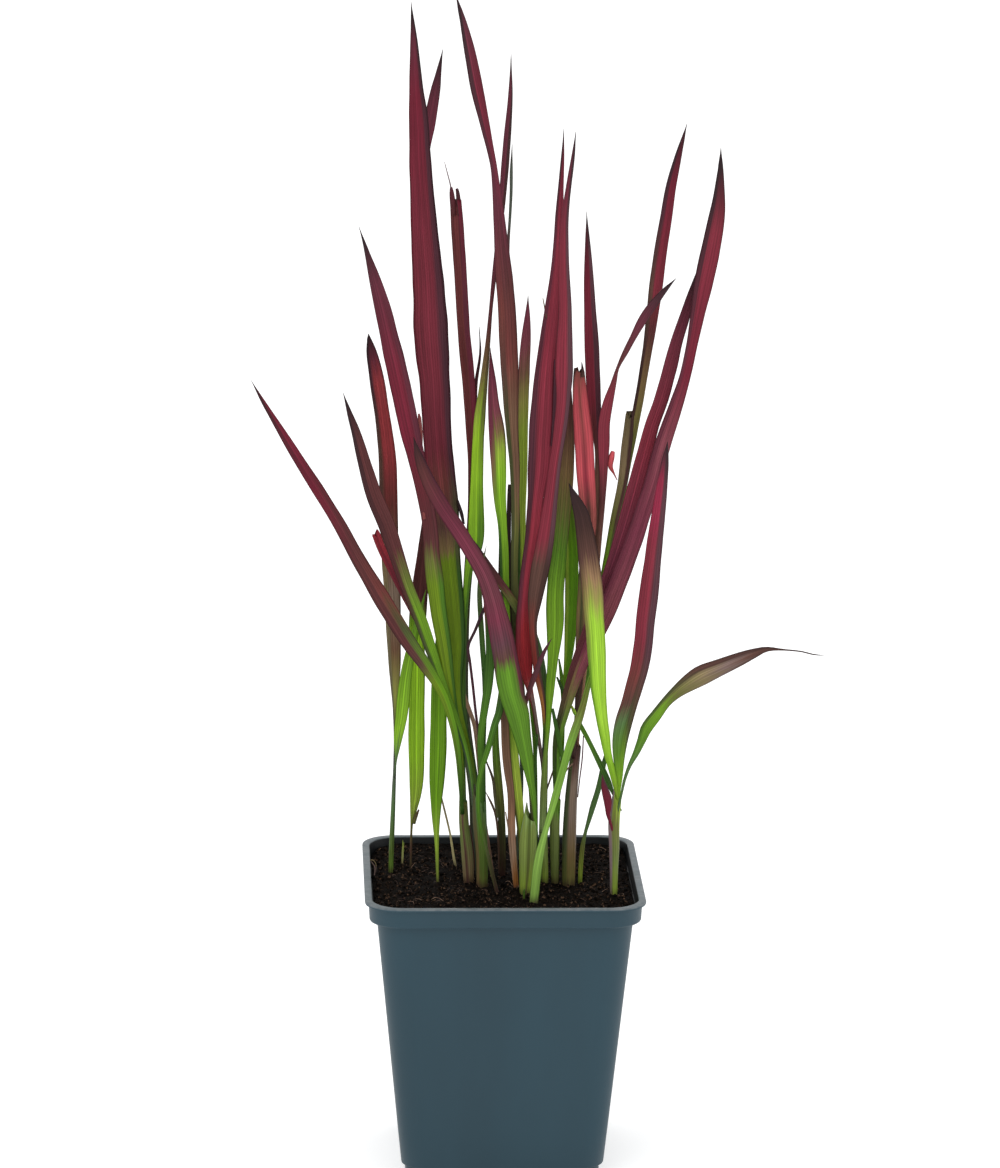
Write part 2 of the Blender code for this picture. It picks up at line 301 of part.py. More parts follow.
    Leaf("leaf_thread_tip_centre", PLUM, (3, 5, 4), 0,
         ((4.2, 92, 1.1), (5.2, 108, 1.1), (6.2, 124, 1.1), (5.2, 150, 1.4), (4.4, 180, 1.8),
          (3.8, 210, 2.2), (2.4, 240, 2.4), (1.2, 265, 2.2), (0.3, 285, 1.6), (0.2, 300, 1.0),
          (0.7, 310, 0.9), (1, 318, 1.0), (1, 325, 1.0), (1.2, 333.5, 0)), True),
    Leaf("leaf_thread_tip_left", PLUM, (20, 24, 26, 28), 0,
         ((-9, 96.4, 1.0), (-9.2, 110, 1.0), (-9.8, 124, 1.0), (-11, 138, 1.2), (-12.2, 155, 1.4),
          (-12.4, 175, 1.6), (-11.6, 195, 1.8), (-10, 215, 1.8), (-9.6, 230, 1.8), (-9.9, 245, 1.6),
          (-9.7, 256, 1.2), (-8.4, 266, 0.8), (-8.8, 275, 0)), True),
    Leaf("stalk_straw", STRAW, (18.6, 19, 19.4), 0,
         ((-14.6, 96, 0.8), (-15.6, 100, 0.8), (-17, 108, 0.7), (-19.5, 118.5, 0.6), (-20.6, 123, 0)), True),
    Leaf("stub_yellow", STRAW, (22, 22, 22), 0,
         ((-32.6, 97, 0.7), (-32.3, 101, 0.7), (-32.1, 105, 0.6)), True, True),
    Leaf("sliver_dry", BROWN_RED, (9, 7, 4), 0,
         ((-0.6, 93.8, 0.8), (-1.2, 106, 0.8), (-2.2, 114, 0.8), (-4, 118.7, 0.7), (-5.8, 122.2, 0)), True),
    Leaf("stub_front", DARK_GREEN, (-19.5, -19.5, -19.5), 0,
         ((7.2, 85.8, 0.9), (7.2, 87, 0.8), (7.3, 88.6, 0.6)), True, True),
)


def clear_scene():
    for obj in list(bpy.data.objects):
        bpy.data.objects.remove(obj, do_unlink=True)


def material(name, colour, roughness):
    made = bpy.data.materials.new(name)
    made.use_nodes = True
    shader = made.node_tree.nodes["Principled BSDF"]
    shader.inputs["Base Color"].default_value = (*colour, 1.0)
    shader.inputs["Roughness"].default_value = roughness
    shader.inputs["Metallic"].default_value = 0.0
    return made


def add_object(name, bm, colour, roughness, smooth=True):
    """Turns a body made in millimetres into a named object in metres."""
    bmesh.ops.recalc_face_normals(bm, faces=bm.faces)
    mesh = bpy.data.meshes.new(name)
    bmesh.ops.scale(bm, vec=(MM, MM, MM), verts=bm.verts)
    bm.to_mesh(mesh)
    bm.free()
    if smooth:
        mesh.shade_smooth()
        mesh.set_sharp_from_angle(angle=math.radians(35))
    mesh.materials.append(material(name, colour, roughness))
    obj = bpy.data.objects.new(name, mesh)
    bpy.context.scene.collection.objects.link(obj)
    return obj


def bridge(bm, lower, upper):
    """Faces between two rings that have the same number of points."""
    count = len(lower)
    for i in range(count):
        after = (i + 1) % count
        bm.faces.new((lower[i], lower[after], upper[after], upper[i]))


def loft(rings):
    """A closed body through rings of points, with a flat or pointed cap at each end."""
    bm = bmesh.new()
    made = [[bm.verts.new(point) for point in ring] for ring in rings]
    for lower, upper in zip(made, made[1:]):
        if len(upper) == 1:
            for i, vertex in enumerate(lower):
                bm.faces.new((vertex, lower[(i + 1) % len(lower)], upper[0]))
        else:
            bridge(bm, lower, upper)
    bm.faces.new(made[0][::-1])
    if len(made[-1]) > 1:
        bm.faces.new(made[-1])
    return bm


def rounded_square(half, corner, height, side_steps=1):
    """One ring of points round a square with round corners; height is a number or a rule of x and y."""
    middle = half - corner
    corners = ((middle, middle), (-middle, middle), (-middle, -middle), (middle, -middle))
    flat = []
    for quarter, (cx, cy) in enumerate(corners):
        for step in range(CORNER_STEPS + 1):
            angle = (quarter + step / CORNER_STEPS) * math.pi / 2
            flat.append((cx + corner * math.cos(angle), cy + corner * math.sin(angle)))
        x, y = flat[-1]
        after_x, after_y = corners[(quarter + 1) % 4]
        for step in range(1, side_steps):
            share = step / side_steps
            flat.append((x + (after_x - cx) * share, y + (after_y - cy) * share))
    return [Vector((x, y, height(x, y) if callable(height) else height)) for x, y in flat]


def body_half(z):
    """The outer half width of the pot's tapered body at a height."""
    body_top = POT_HEIGHT - BAND_HEIGHT - LIP_THICK
    return BODY_FOOT_HALF + (BODY_TOP_HALF - BODY_FOOT_HALF) * (z - FOOT_HEIGHT) / (body_top - FOOT_HEIGHT)


def pot_profile():
    """(half width, height) up the outside, over the lip and down the inside."""
    band_foot = POT_HEIGHT - LIP_THICK - BAND_HEIGHT
    foot = BODY_FOOT_HALF - FOOT_INSET
    outside = [(foot, 0.0), (foot, FOOT_HEIGHT), (BODY_FOOT_HALF, FOOT_HEIGHT), (BODY_TOP_HALF, band_foot),
               (BAND_HALF - BAND_DRAFT, band_foot), (BAND_HALF, POT_HEIGHT - LIP_THICK),
               (LIP_HALF, POT_HEIGHT - LIP_THICK), (LIP_HALF, POT_HEIGHT)]
    return outside + inside_profile(0.0)


def inside_profile(clearance):
    """(half width, height) down the inside of the pot, kept clear of its wall by a clearance."""
    band_foot = POT_HEIGHT - LIP_THICK - BAND_HEIGHT
    ledge = band_foot + WALL + clearance
    return [(BAND_HALF - WALL - clearance, POT_HEIGHT),
            (BAND_HALF - BAND_DRAFT - WALL - clearance, ledge + LEDGE_SLOPE),
            (body_half(band_foot) - WALL - clearance, ledge),
            (BODY_FOOT_HALF - FOOT_INSET - WALL - clearance, FLOOR_THICK + clearance)]


def make_pot():
    """A thin-walled square pot, with drain holes cut through its floor."""
    rings = [rounded_square(half, CORNER * half / LIP_HALF, z) for half, z in pot_profile()]
    pot = add_object("pot", loft(rings), POT_GREY, 0.42)
    cutter_mesh = bmesh.new()
    for x in DRAIN_HOLE_OFFSETS:
        for y in DRAIN_HOLE_OFFSETS:
            if x or y:
                made = bmesh.ops.create_cone(cutter_mesh, cap_ends=True, segments=12, depth=FLOOR_THICK * 3,
                                             radius1=DRAIN_HOLE_RADIUS, radius2=DRAIN_HOLE_RADIUS)
                bmesh.ops.translate(cutter_mesh, verts=made["verts"], vec=(x, y, FLOOR_THICK / 2))
    cutter = add_object("drain_hole_cutter", cutter_mesh, POT_GREY, 0.5, smooth=False)
    cutter.hide_render = True
    cutter.display_type = "WIRE"
    holes = pot.modifiers.new("drain_holes", "BOOLEAN")
    holes.object = cutter
    holes.operation = "DIFFERENCE"
    holes.solver = "EXACT"


def soil_height(x, y):
    """The lumpy top of the soil, heaped up along the back."""
    lumps = math.sin(0.12 * x + 1.3) * math.cos(0.1 * y) + 0.5 * math.sin(0.19 * y + 0.15 * x)
    heap = SOIL_BACK_RISE * max(0.0, y / BODY_TOP_HALF) ** 3
    return SOIL_TOP + SOIL_RELIEF * lumps + heap


def make_soil():
    """The soil that fills the pot, with a lumpy top built up in smaller and smaller rings."""
    rim, upper, lower, floor = inside_profile(GAP)
    sides = [floor, lower, upper]
    rings = [rounded_square(half, CORNER * half / LIP_HALF, z, SOIL_SIDE_STEPS) for half, z in sides]
    for ring in range(SOIL_RINGS):
        half = upper[0] * (1 - ring / SOIL_RINGS)
        rings.append(rounded_square(half, CORNER * half / LIP_HALF, soil_height, SOIL_SIDE_STEPS))
    rings.append([Vector((0, 0, soil_height(0, 0)))])
    add_object("soil", loft(rings), PEAT, 0.95)


def smooth_step(near, t):
    """The value at t between the middle two of four neighbours, on a smooth curve through them all."""
    p0, p1, p2, p3 = near
    bent = 2 * p1 + (p2 - p0) * t + (2 * p0 - 5 * p1 + 4 * p2 - p3) * t ** 2
    return (bent + (3 * p1 - p0 - 3 * p2 + p3) * t ** 3) * 0.5


def smooth_through(points, count):
    """Evenly spaced stations on a smooth curve through hand-set points."""
    points = [Vector(point) for point in points]
    places = [0.0]
    for before, after in zip(points, points[1:]):
        places.append(places[-1] + math.dist(before[:2], after[:2]))
    ends = [points[0] * 2 - points[1]] + points + [points[-1] * 2 - points[-2]]
    stations = []
    segment = 0
    for i in range(count):
        place = places[-1] * i / (count - 1)
        while segment < len(points) - 2 and place > places[segment + 1]:
            segment += 1
        t = (place - places[segment]) / (places[segment + 1] - places[segment])
        stations.append(smooth_step(ends[segment:segment + 4], t))
    return stations


def depth_at(depths, s):
    """A smooth change of depth through evenly spaced depths from foot to tip."""
    spans = len(depths) - 1
    span = min(int(s * spans), spans - 1)
    t = s * spans - span
    ends = (2 * depths[0] - depths[1], *depths, 2 * depths[-1] - depths[-2])
    return smooth_step(ends[span:span + 4], t)


def slide(x, z, depth):
    """The point at a depth on the sight line from the eye through (x, z) of the middle plane."""
    seen = Vector((x, 0.0, z))
    return EYE + (seen - EYE) * ((depth - EYE.y) / -EYE.y)


def centre_line(stations, depths):
    """A blade's or sheath's middle line in space."""
    last = len(stations) - 1
    return [slide(x, z, depth_at(depths, i / last)) for i, (x, z, width) in enumerate(stations)]


def frames_along(line):
    """At each point the directions along the line, across it and away from the eye."""
    frames = []
    for i, point in enumerate(line):
        along = (line[min(i + 1, len(line) - 1)] - line[max(i - 1, 0)]).normalized()
        across = (point - EYE).normalized().cross(along).normalized()
        frames.append((along, across, along.cross(across)))
    return frames


def stand_on_soil(ring):
    """Cuts a foot flat, just above the highest soil under it."""
    z = FOOT_ABOVE_SOIL + max(soil_height(point.x, point.y) for point in ring)
    return [Vector((point.x, point.y, z)) for point in ring]


def station_count(leaf):
    """More stations on a longer leaf."""
    length = sum(math.dist(a[:2], b[:2]) for a, b in zip(leaf.points, leaf.points[1:]))
    return max(FEWEST_STATIONS, min(MOST_STATIONS, round(length / STATION_STEP)))


def make_leaf(leaf):
    """A thin blade with a raised midrib, whose face turns slowly away from the front."""
    stations = smooth_through(leaf.points, station_count(leaf))
    line = centre_line(stations, leaf.depths)
    last = len(line) - 1
    rings = []
    for i, (along, across, away) in enumerate(frames_along(line)):
        if i == last and not leaf.blunt:
            rings.append([line[i]])
            break
        share = i / last
        angle = math.radians(leaf.turn) * share * share * (3 - 2 * share)
        side = across * math.cos(angle) + away * math.sin(angle)
        face = away * math.cos(angle) - across * math.sin(angle)
        half = max(stations[i][2], 0.3) / (2 * math.cos(angle))
        thick = min(MIDRIB_THICK, 0.26 + 0.16 * half)
        middle = line[i] + face * (FOLD * half)
        rings.append([line[i] - side * half, middle - face * (thick / 2), line[i] + side * half,
                      middle + face * (thick / 2)])
    if leaf.rooted:
        rings[0] = stand_on_soil(rings[0])
    add_object(leaf.name, loft(rings), leaf.colour, 0.5)


def make_sheath(sheath):
    """A rolled stem of leaf sheaths, a little deeper than wide."""
    stations = smooth_through(sheath.points, SHEATH_STATIONS)
    line = centre_line(stations, sheath.depths)
    rings = []
    for i, (along, across, away) in enumerate(frames_along(line)):
        half = stations[i][2] / 2
        ring = []
        for side in range(SHEATH_SIDES):
            angle = 2 * math.pi * (side + 0.5) / SHEATH_SIDES
            ring.append(line[i] + (across * math.cos(angle) + away * math.sin(angle)) * half)
        rings.append(ring)
    rings[0] = stand_on_soil(rings[0])
    top = line[-1].z
    rings[-1] = [Vector((point.x, point.y, top)) for point in rings[-1]]
    add_object(sheath.name, loft(rings), sheath.colour, 0.5)


def main():
    clear_scene()
    make_pot()
    make_soil()
    for sheath in SHEATHS:
        make_sheath(sheath)
    for leaf in LEAVES:
        make_leaf(leaf)


main()
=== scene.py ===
"""Potted Japanese blood grass: its pot, soil, sheaths, blades and litter, made finely for close views.

Sizes are in millimetres, and become metres where a mesh is made. +Z is up and the front faces -Y.
"""

import math
import random
from collections import namedtuple

import bmesh
import bpy
import numpy as np
from bpy.props import FloatProperty, FloatVectorProperty, IntProperty, PointerProperty
from mathutils import Matrix, Vector, noise


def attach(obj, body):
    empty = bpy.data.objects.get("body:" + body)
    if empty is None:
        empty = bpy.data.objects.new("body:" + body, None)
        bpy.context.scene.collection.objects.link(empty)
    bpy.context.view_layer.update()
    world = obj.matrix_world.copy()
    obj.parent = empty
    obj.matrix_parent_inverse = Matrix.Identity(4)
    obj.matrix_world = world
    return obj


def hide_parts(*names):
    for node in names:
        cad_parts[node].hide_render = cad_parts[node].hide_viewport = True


bl_info = {
    "name": "Potted Blood Grass",
    "version": (1, 0, 0),
    "blender": (4, 5, 0),
    "location": "3D Viewport > Sidebar > Grass",
    "description": "Builds a potted clump of blood grass: pot, soil, sheaths, blades and litter",
    "category": "Add Mesh",
}

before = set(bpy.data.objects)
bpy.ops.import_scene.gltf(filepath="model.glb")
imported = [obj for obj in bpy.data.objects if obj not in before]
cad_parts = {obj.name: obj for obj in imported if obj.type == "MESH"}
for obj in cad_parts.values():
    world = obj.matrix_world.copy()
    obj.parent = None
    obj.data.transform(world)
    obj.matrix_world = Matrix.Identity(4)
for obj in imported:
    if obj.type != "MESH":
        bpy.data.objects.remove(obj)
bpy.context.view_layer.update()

MM = 0.001
BODY = "root"
UV_NAME = "across_and_along"

# How far the soil stands off the pot's wall.
GAP = 0.3

# The pot's sizes, the sides of its drain holes, the points along its straight sides, and the angle from
# which an edge of it is sharp.
POT_HEIGHT = 95.0
LIP_HALF = 45.0
LIP_THICK = 1.0
BAND_HALF = 43.8
BAND_HEIGHT = 5.9
BAND_DRAFT = 0.3
BODY_TOP_HALF = 41.1
BODY_FOOT_HALF = 32.8
FOOT_INSET = 1.4
FOOT_HEIGHT = 4.4
WALL = 1.2
LEDGE_SLOPE = 0.4
FLOOR_THICK = 2.0
CORNER = 11.0
DRAIN_HOLE_RADIUS = 3.5
DRAIN_HOLE_SIDES = 32
DRAIN_HOLE_OFFSETS = (-18.0, 0.0, 18.0)
POT_SIDE_STEPS = 4
SHARP_DEGREES = 50.0

# Heights of the rings up the outside of the pot's body, and down its inside.
BODY_RINGS = (16.0, 32.0, 48.0, 64.0, 80.0)
INNER_RINGS = (64.0, 32.0)

# The soil's height and lumps, how far its crumbly top lies under the smooth one, and the mounds round feet.
SOIL_TOP = 90.4
SOIL_RELIEF = 0.45
SOIL_BACK_RISE = 2.4
CRUMBLY_DROP = 0.2
MOUND_HEIGHT = 0.8
MOUND_REACH = 2.2

# The near black painted as shade on the pot's inside, the highlight painted on its lip, the dust on it and
# the soil's pale specks, as linear colours.
POT_INSIDE_SHADE = (0.0025, 0.002, 0.002)
LIP_HIGHLIGHT = (0.23, 0.245, 0.25)
DRY_DUST = (0.05, 0.04, 0.032)
PALE_SPECKS = (0.10, 0.062, 0.04)

# The eye that the clump is drawn from, and the camera that stands there.
EYE = Vector((-70.1, -1828.3, 609.8))
LOOKS_AT = Vector((-1.44, 0.0, 190.8))
CAMERA_ROLL = 0.5
CAMERA_LENS = 180.0

# Where the lights are, the length of their sides and how far the camera sees, in metres.
KEY_PLACE = (-0.9, -1.3, 1.7)
FILL_PLACE = (1.5, -0.9, 0.9)
LIGHT_SIZE = 1.2
FARTHEST_SEEN = 100.0

# How far a foot runs into the soil, and a blade's foot into its sheath.
ROOT_INTO_SOIL = 1.5
ROOT_INTO_SHEATH = 6.0

# Over how many stations a foot is drawn down into the soil.
BLADE_FOOT_STATIONS = 6
SHEATH_FOOT_STATIONS = 8

# Points round the soil's corners and along its sides.
SOIL_CORNER_STEPS = 6
SOIL_SIDE_STEPS = 38

# How far into each other a strip and the rest of a blade run, as a share of its width.
STRIP_BLUR = 0.09

# The palette has leaf colours as they look by daylight, and is toned down for the strength of the light.
LEAF_TONE = 0.8

# Rings of the pot's profile that are on its inside, below the softened edge of the lip.
INSIDE_RINGS = 6

# A blade's half width up to which it is a stalk and from which it is broad, and a stalk's thickness.
STALK_HALF = 0.75
BROAD_HALF = 1.8
STALK_THICK = 1.1

# The least widths of a blade and of a fine tip, and the least rise from one of its heights to the next.
LEAST_BLADE_WIDTH = 0.3
LEAST_TIP_WIDTH = 0.12
LEAST_RISE = 1e-4

# The distance between a sheath's stations.
SHEATH_SPACING = 1.2

# A sheath's margin overlaps: its radius inside the seam, as a share, and how far it grows on its way round.
SEAM_INSIDE = 0.93
SEAM_STEP = 0.11
DEGREES_IN_RADIAN = 57.3

# A sheath's mouth is cut aslant: how far its high side rises and draws in, where that side is, over how
# many stations it begins and how deep its hollow is.
MOUTH_RISE = 6.0
MOUTH_TAPER = 0.6
MOUTH_HIGH_SIDE = -0.3
MOUTH_STATIONS = 6
MOUTH_DEPTH = 3.0

# A thread is a flat tube: the distance between its stations, its sides, half of its greatest thickness and
# the distance between its veins.
THREAD_SPACING = 0.8
THREAD_SIDES = 6
THREAD_HALF_THICK = 0.22
THREAD_VEIN_GAP = 0.5

# How far a torn end's points stand back and out, and its deepest tear.
TORN_RIM = (-1.4, 0.7)
DEEPEST_TEAR = -2.0

# At how many places a blade's and a sheath's heights are taken for their colours.
BLADE_HEIGHTS = 60
SHEATH_HEIGHTS = 40

# How far up from the soil a blade or sheath is painted darker, as shade where it meets the ground.
FOOT_SHADE_HEIGHT = 3.6

# Widths of fibres and fine roots, in metres.
FIBRE_WIDTH = 0.00013
ROOT_WIDTH = 0.00019

# How far out on the soil crumbs and fibres lie, as shares, and the rings of the patch they lie on.
CRUMB_REACH = 0.975
FIBRE_REACH = 0.93
PATCH_RINGS = 40

# Seeds of what is strewn on the soil.
CRUMB_SEED = 11
FIBRE_SEED = 21
ROOT_SEED = 31

Leaf = namedtuple("Leaf", "name depths turn points rooted blunt", defaults=(False, False))
Sheath = namedtuple("Sheath", "name depths points")

# Each sheath: its depths behind the middle plane at the soil and at its top, and its (x, z, width)
# from the soil up, seen from the front.
SHEATHS = (
    Sheath("sheath_far_left", (14.9, 14.9),
           ((-36.2, 95, 1.7), (-35.9, 104, 1.7), (-35.5, 115, 1.5), (-35, 130.5, 1.1))),
    Sheath("sheath_left_olive", (3.7, 3.4),
           ((-10.6, 92, 3.4), (-11.2, 100, 4), (-12.3, 110, 3.4), (-12.9, 118.5, 3.2))),
    Sheath("sheath_left_green", (-1.8, -1.8),
           ((-6.4, 91, 3.8), (-6.6, 100, 3.9), (-7.3, 110, 4.6), (-7.9, 118.5, 5.2))),
    Sheath("sheath_centre", (-11, -7),
           ((7.6, 88, 3.4), (8.2, 95, 5), (8.5, 104, 5.8), (8.7, 112, 5.2))),
    Sheath("sheath_centre_right", (1, 1),
           ((14, 91.3, 2.4), (13.8, 98, 2.5), (13.3, 106, 2.9), (13.1, 112.5, 3.1))),
    Sheath("sheath_right_green", (1.2, 1.2),
           ((17.4, 91.3, 2.5), (17.1, 103, 3.3), (17.1, 112, 3.3), (17.5, 119, 3))),
    Sheath("sheath_right_brown", (0.4, 2.2),
           ((21.6, 91, 4.4), (21.7, 105, 4.7), (22.1, 118, 4.2), (22.8, 128, 3.7), (23.7, 137, 3.2))),
    Sheath("sheath_right_shoot", (-14.6, -14.2),
           ((36.5, 87, 2.4), (36.5, 95, 2.7), (36.5, 103, 3.3), (36.3, 111, 3.7), (36.8, 119, 3.6))),
)

# Each leaf: its depths behind the middle plane, evenly spaced from foot to tip, how far its face turns
# from the front by its tip in degrees, and its (x, z, width) from foot to tip, seen from the front.
# A rooted leaf stands on the soil, and a blunt one ends in a torn edge instead of a point.
LEFT_LEAVES = (
    Leaf("leaf_far_left", (1.8, -11, -30), 25,
         ((-13.4, 120.3, 1.3), (-13.9, 128, 1.7), (-14.6, 135, 2), (-16, 143, 2.3), (-18.4, 151.5, 2.8),
          (-21.5, 158, 3.4), (-25.6, 164.3, 4.2), (-31, 172, 5), (-36.8, 181.5, 5.5), (-42.1, 190.5, 5.2),
          (-47.6, 200, 4.5), (-52.9, 210, 4.1), (-58.9, 220, 3.9), (-65.2, 230, 3.5), (-71.3, 240, 2.6),
          (-77.3, 250, 1.3), (-81.3, 257.3, 0))),
    Leaf("leaf_left_crossed", (-1.8, 0.6, 0, -1, -2), -20,
         ((-9.6, 120.3, 1.2), (-10.5, 128, 1.5), (-12.1, 136, 1.8), (-14.8, 145, 2.1), (-18.2, 154, 2.4),
          (-21.4, 163, 3), (-24, 170.5, 3.8), (-27.3, 180, 4.1), (-31.3, 190, 4.3), (-34.6, 200, 4.9),
          (-37.9, 210, 5.4), (-42, 220, 5.2), (-45, 230, 4.3), (-47.7, 240, 3), (-49.8, 246.5, 1.7),
          (-52, 253.3, 0))),
    Leaf("leaf_left_upright", (14.9, 21, 30), 25,
         ((-35.2, 131.8, 0.6), (-34.95, 140, 0.9), (-35, 150, 1.6), (-35.1, 157, 2.8), (-35.2, 165, 4),
          (-35.6, 175, 4.8), (-36, 187, 5.3), (-36.8, 200, 5.6), (-37.3, 215, 5.9), (-37.7, 230, 5.8),
          (-38.7, 240, 5.2), (-40.1, 250, 4.9), (-41.7, 260, 4.6), (-42.9, 266, 3.6), (-43.8, 270.5, 1.5),
          (-44, 272.5, 0))),
    Leaf("leaf_left_side_branch", (13.6, 10.5, 9), 0,
         ((-34.6, 132.2, 0.7), (-33.9, 140, 2.8), (-32.9, 147, 4), (-32.3, 153, 4.1), (-31.6, 160, 3.7),
          (-30.2, 168, 3.1), (-28.3, 176, 2.3), (-26.6, 183, 1.3), (-25.2, 189, 0))),
    Leaf("leaf_left_broad_green", (18.6, 20, 17), 15,
         ((-29.7, 96, 0.8), (-29.6, 104, 0.8), (-29.4, 111, 0.9), (-28.8, 116, 2.4), (-28.2, 121, 3.8),
          (-27.9, 128, 4.8), (-28, 136, 5.3), (-28, 150, 5.2), (-27.9, 162, 5.1), (-28.2, 172, 5.3),
          (-27.7, 182, 5.6), (-26.9, 192, 5), (-26, 202, 4), (-25, 214, 2.6), (-24.2, 224, 1.3),
          (-23.7, 231, 0)), True),
    Leaf("leaf_left_short_green", (1.8, 11.5, 17), -10,
         ((-20.8, 91.6, 0.8), (-21.1, 100, 1.1), (-21.3, 106, 1.6), (-21.5, 112, 2.5), (-21.5, 118, 3.6),
          (-21.3, 126, 5), (-21, 135, 5.5), (-20.9, 146, 5.3), (-20.8, 157, 5.1), (-20.4, 167, 4.4),
          (-19.6, 178, 3.4), (-18.8, 190, 2), (-18.1, 200, 0)), True),
    Leaf("leaf_tall_left", (-0.5, 7, 9, 9, 8, 8), 20,
         ((-8.4, 120.3, 1.4), (-9.6, 130, 1.6), (-11.8, 140, 1.9), (-14, 150, 2.2), (-14.9, 160, 3.4),
          (-14.9, 172, 5), (-16.1, 185, 6.2), (-17.8, 200, 7.2), (-19.3, 215, 9), (-20.9, 228, 9.5),
          (-21.9, 240, 9.2), (-22.7, 255, 9.8), (-23.9, 270, 11), (-24.9, 287, 10.3), (-26.2, 303, 8.8),
          (-27.7, 325, 7.1), (-28.4, 340, 6.2), (-29.3, 352, 4.4), (-30, 365, 2.5), (-31, 378.5, 0))),
    Leaf("leaf_tall_left_behind", (16.5, 21, 25, 29, 34), -20,
         ((-6.6, 95.4, 1.2), (-7, 108, 1.2), (-7.9, 122, 1.2), (-9.2, 130, 1.3), (-11, 142, 1.5),
          (-12.6, 155, 1.8), (-14, 170, 2.4), (-16.5, 190, 3.2), (-20, 215, 4), (-23.5, 240, 4.4),
          (-26, 270, 4.6), (-27.5, 295, 4.6), (-27.6, 315, 4.4), (-26.9, 330, 4.2), (-25, 340, 4),
          (-23.2, 350, 3.2), (-22.3, 355, 2.1), (-20.9, 363.5, 0)), True),
    Leaf("leaf_left_tilted", (2.6, 1.2, -0.5, -3, -8, -14), -25,
         ((-12.4, 120.3, 1.2), (-12.9, 130, 1.5), (-13.9, 140, 1.8), (-16, 150, 2.4), (-17.8, 161, 3.6),
          (-19.3, 171, 4.6), (-21, 181, 5.2), (-22.1, 190, 5.5), (-23.3, 200, 5.3), (-24.2, 211, 4.9),
          (-26.3, 222, 4.9), (-28.5, 232, 5.6), (-30.4, 240, 6.2), (-32.5, 250, 6.6), (-34.7, 260, 6.5),
          (-37, 270, 5.9), (-39.3, 280, 5.3), (-42, 290, 3.7), (-44.9, 300, 1.3), (-47.1, 306.8, 0))),
    Leaf("leaf_stub_red", (9, 11, 10), 15,
         ((-9.6, 93.3, 1), (-10, 107, 1), (-10.6, 122, 1), (-13, 138, 1.3), (-16.5, 150, 1.6),
          (-20, 161, 1.8), (-23.6, 169.5, 2), (-28, 179, 2.2), (-32.6, 188, 2.4), (-36.7, 196.5, 2.7),
          (-39.6, 202.5, 2.8), (-41.7, 208.2, 2.8)), True, True),
    Leaf("leaf_sliver", (-1.6, 1.8, 5.2), 0,
         ((-26.5, 218, 0.9), (-27.3, 226, 1.1), (-27.4, 233, 1.3), (-27.2, 239, 1.4),
          (-27.8, 246.4, 1.3)), False, True),
    Leaf("leaf_long_centre", (7.4, 9, 10, 11, 11), 30,
         ((-8, 93, 1.1), (-8.8, 108, 1.1), (-9.9, 122, 1.1), (-11.5, 135, 1.4), (-12.9, 150, 1.7),
          (-13.2, 165, 1.8), (-12.9, 178, 1.8), (-12.3, 188, 2), (-11.4, 196, 2.8), (-9.4, 203.5, 4.6),
          (-9.2, 211, 5.3), (-9.2, 221, 4.3), (-8.9, 235, 3.8), (-8.4, 245, 3.6), (-7.4, 255, 2.7),
          (-6, 270, 1.6), (-5.2, 280, 1.2), (-4.3, 290, 1.4), (-2.8, 305, 1.9), (-1.5, 320, 2.4),
          (-0.8, 330, 2.5), (-0.1, 340, 2.1), (0.5, 350, 1.3), (0.6, 362, 0)), True),
    Leaf("leaf_broken_brown", (14, 18.5, 26), -30,
         ((-3.6, 94.8, 1.1), (-6, 108, 1.1), (-9, 122.5, 1.1), (-11, 138, 1.4), (-12.2, 155, 1.8),
          (-12.4, 170, 2.2), (-12.2, 185, 2.6), (-11.3, 200, 3), (-10.4, 215, 3.3), (-10.3, 230, 3.5),
          (-11, 242, 3.7), (-12, 257, 4.2), (-13.6, 273, 4.1), (-14.7, 290, 4.1), (-15.4, 300, 4.1),
          (-15.9, 307, 4.1), (-16.5, 315.3, 3.8)), True, True),
)
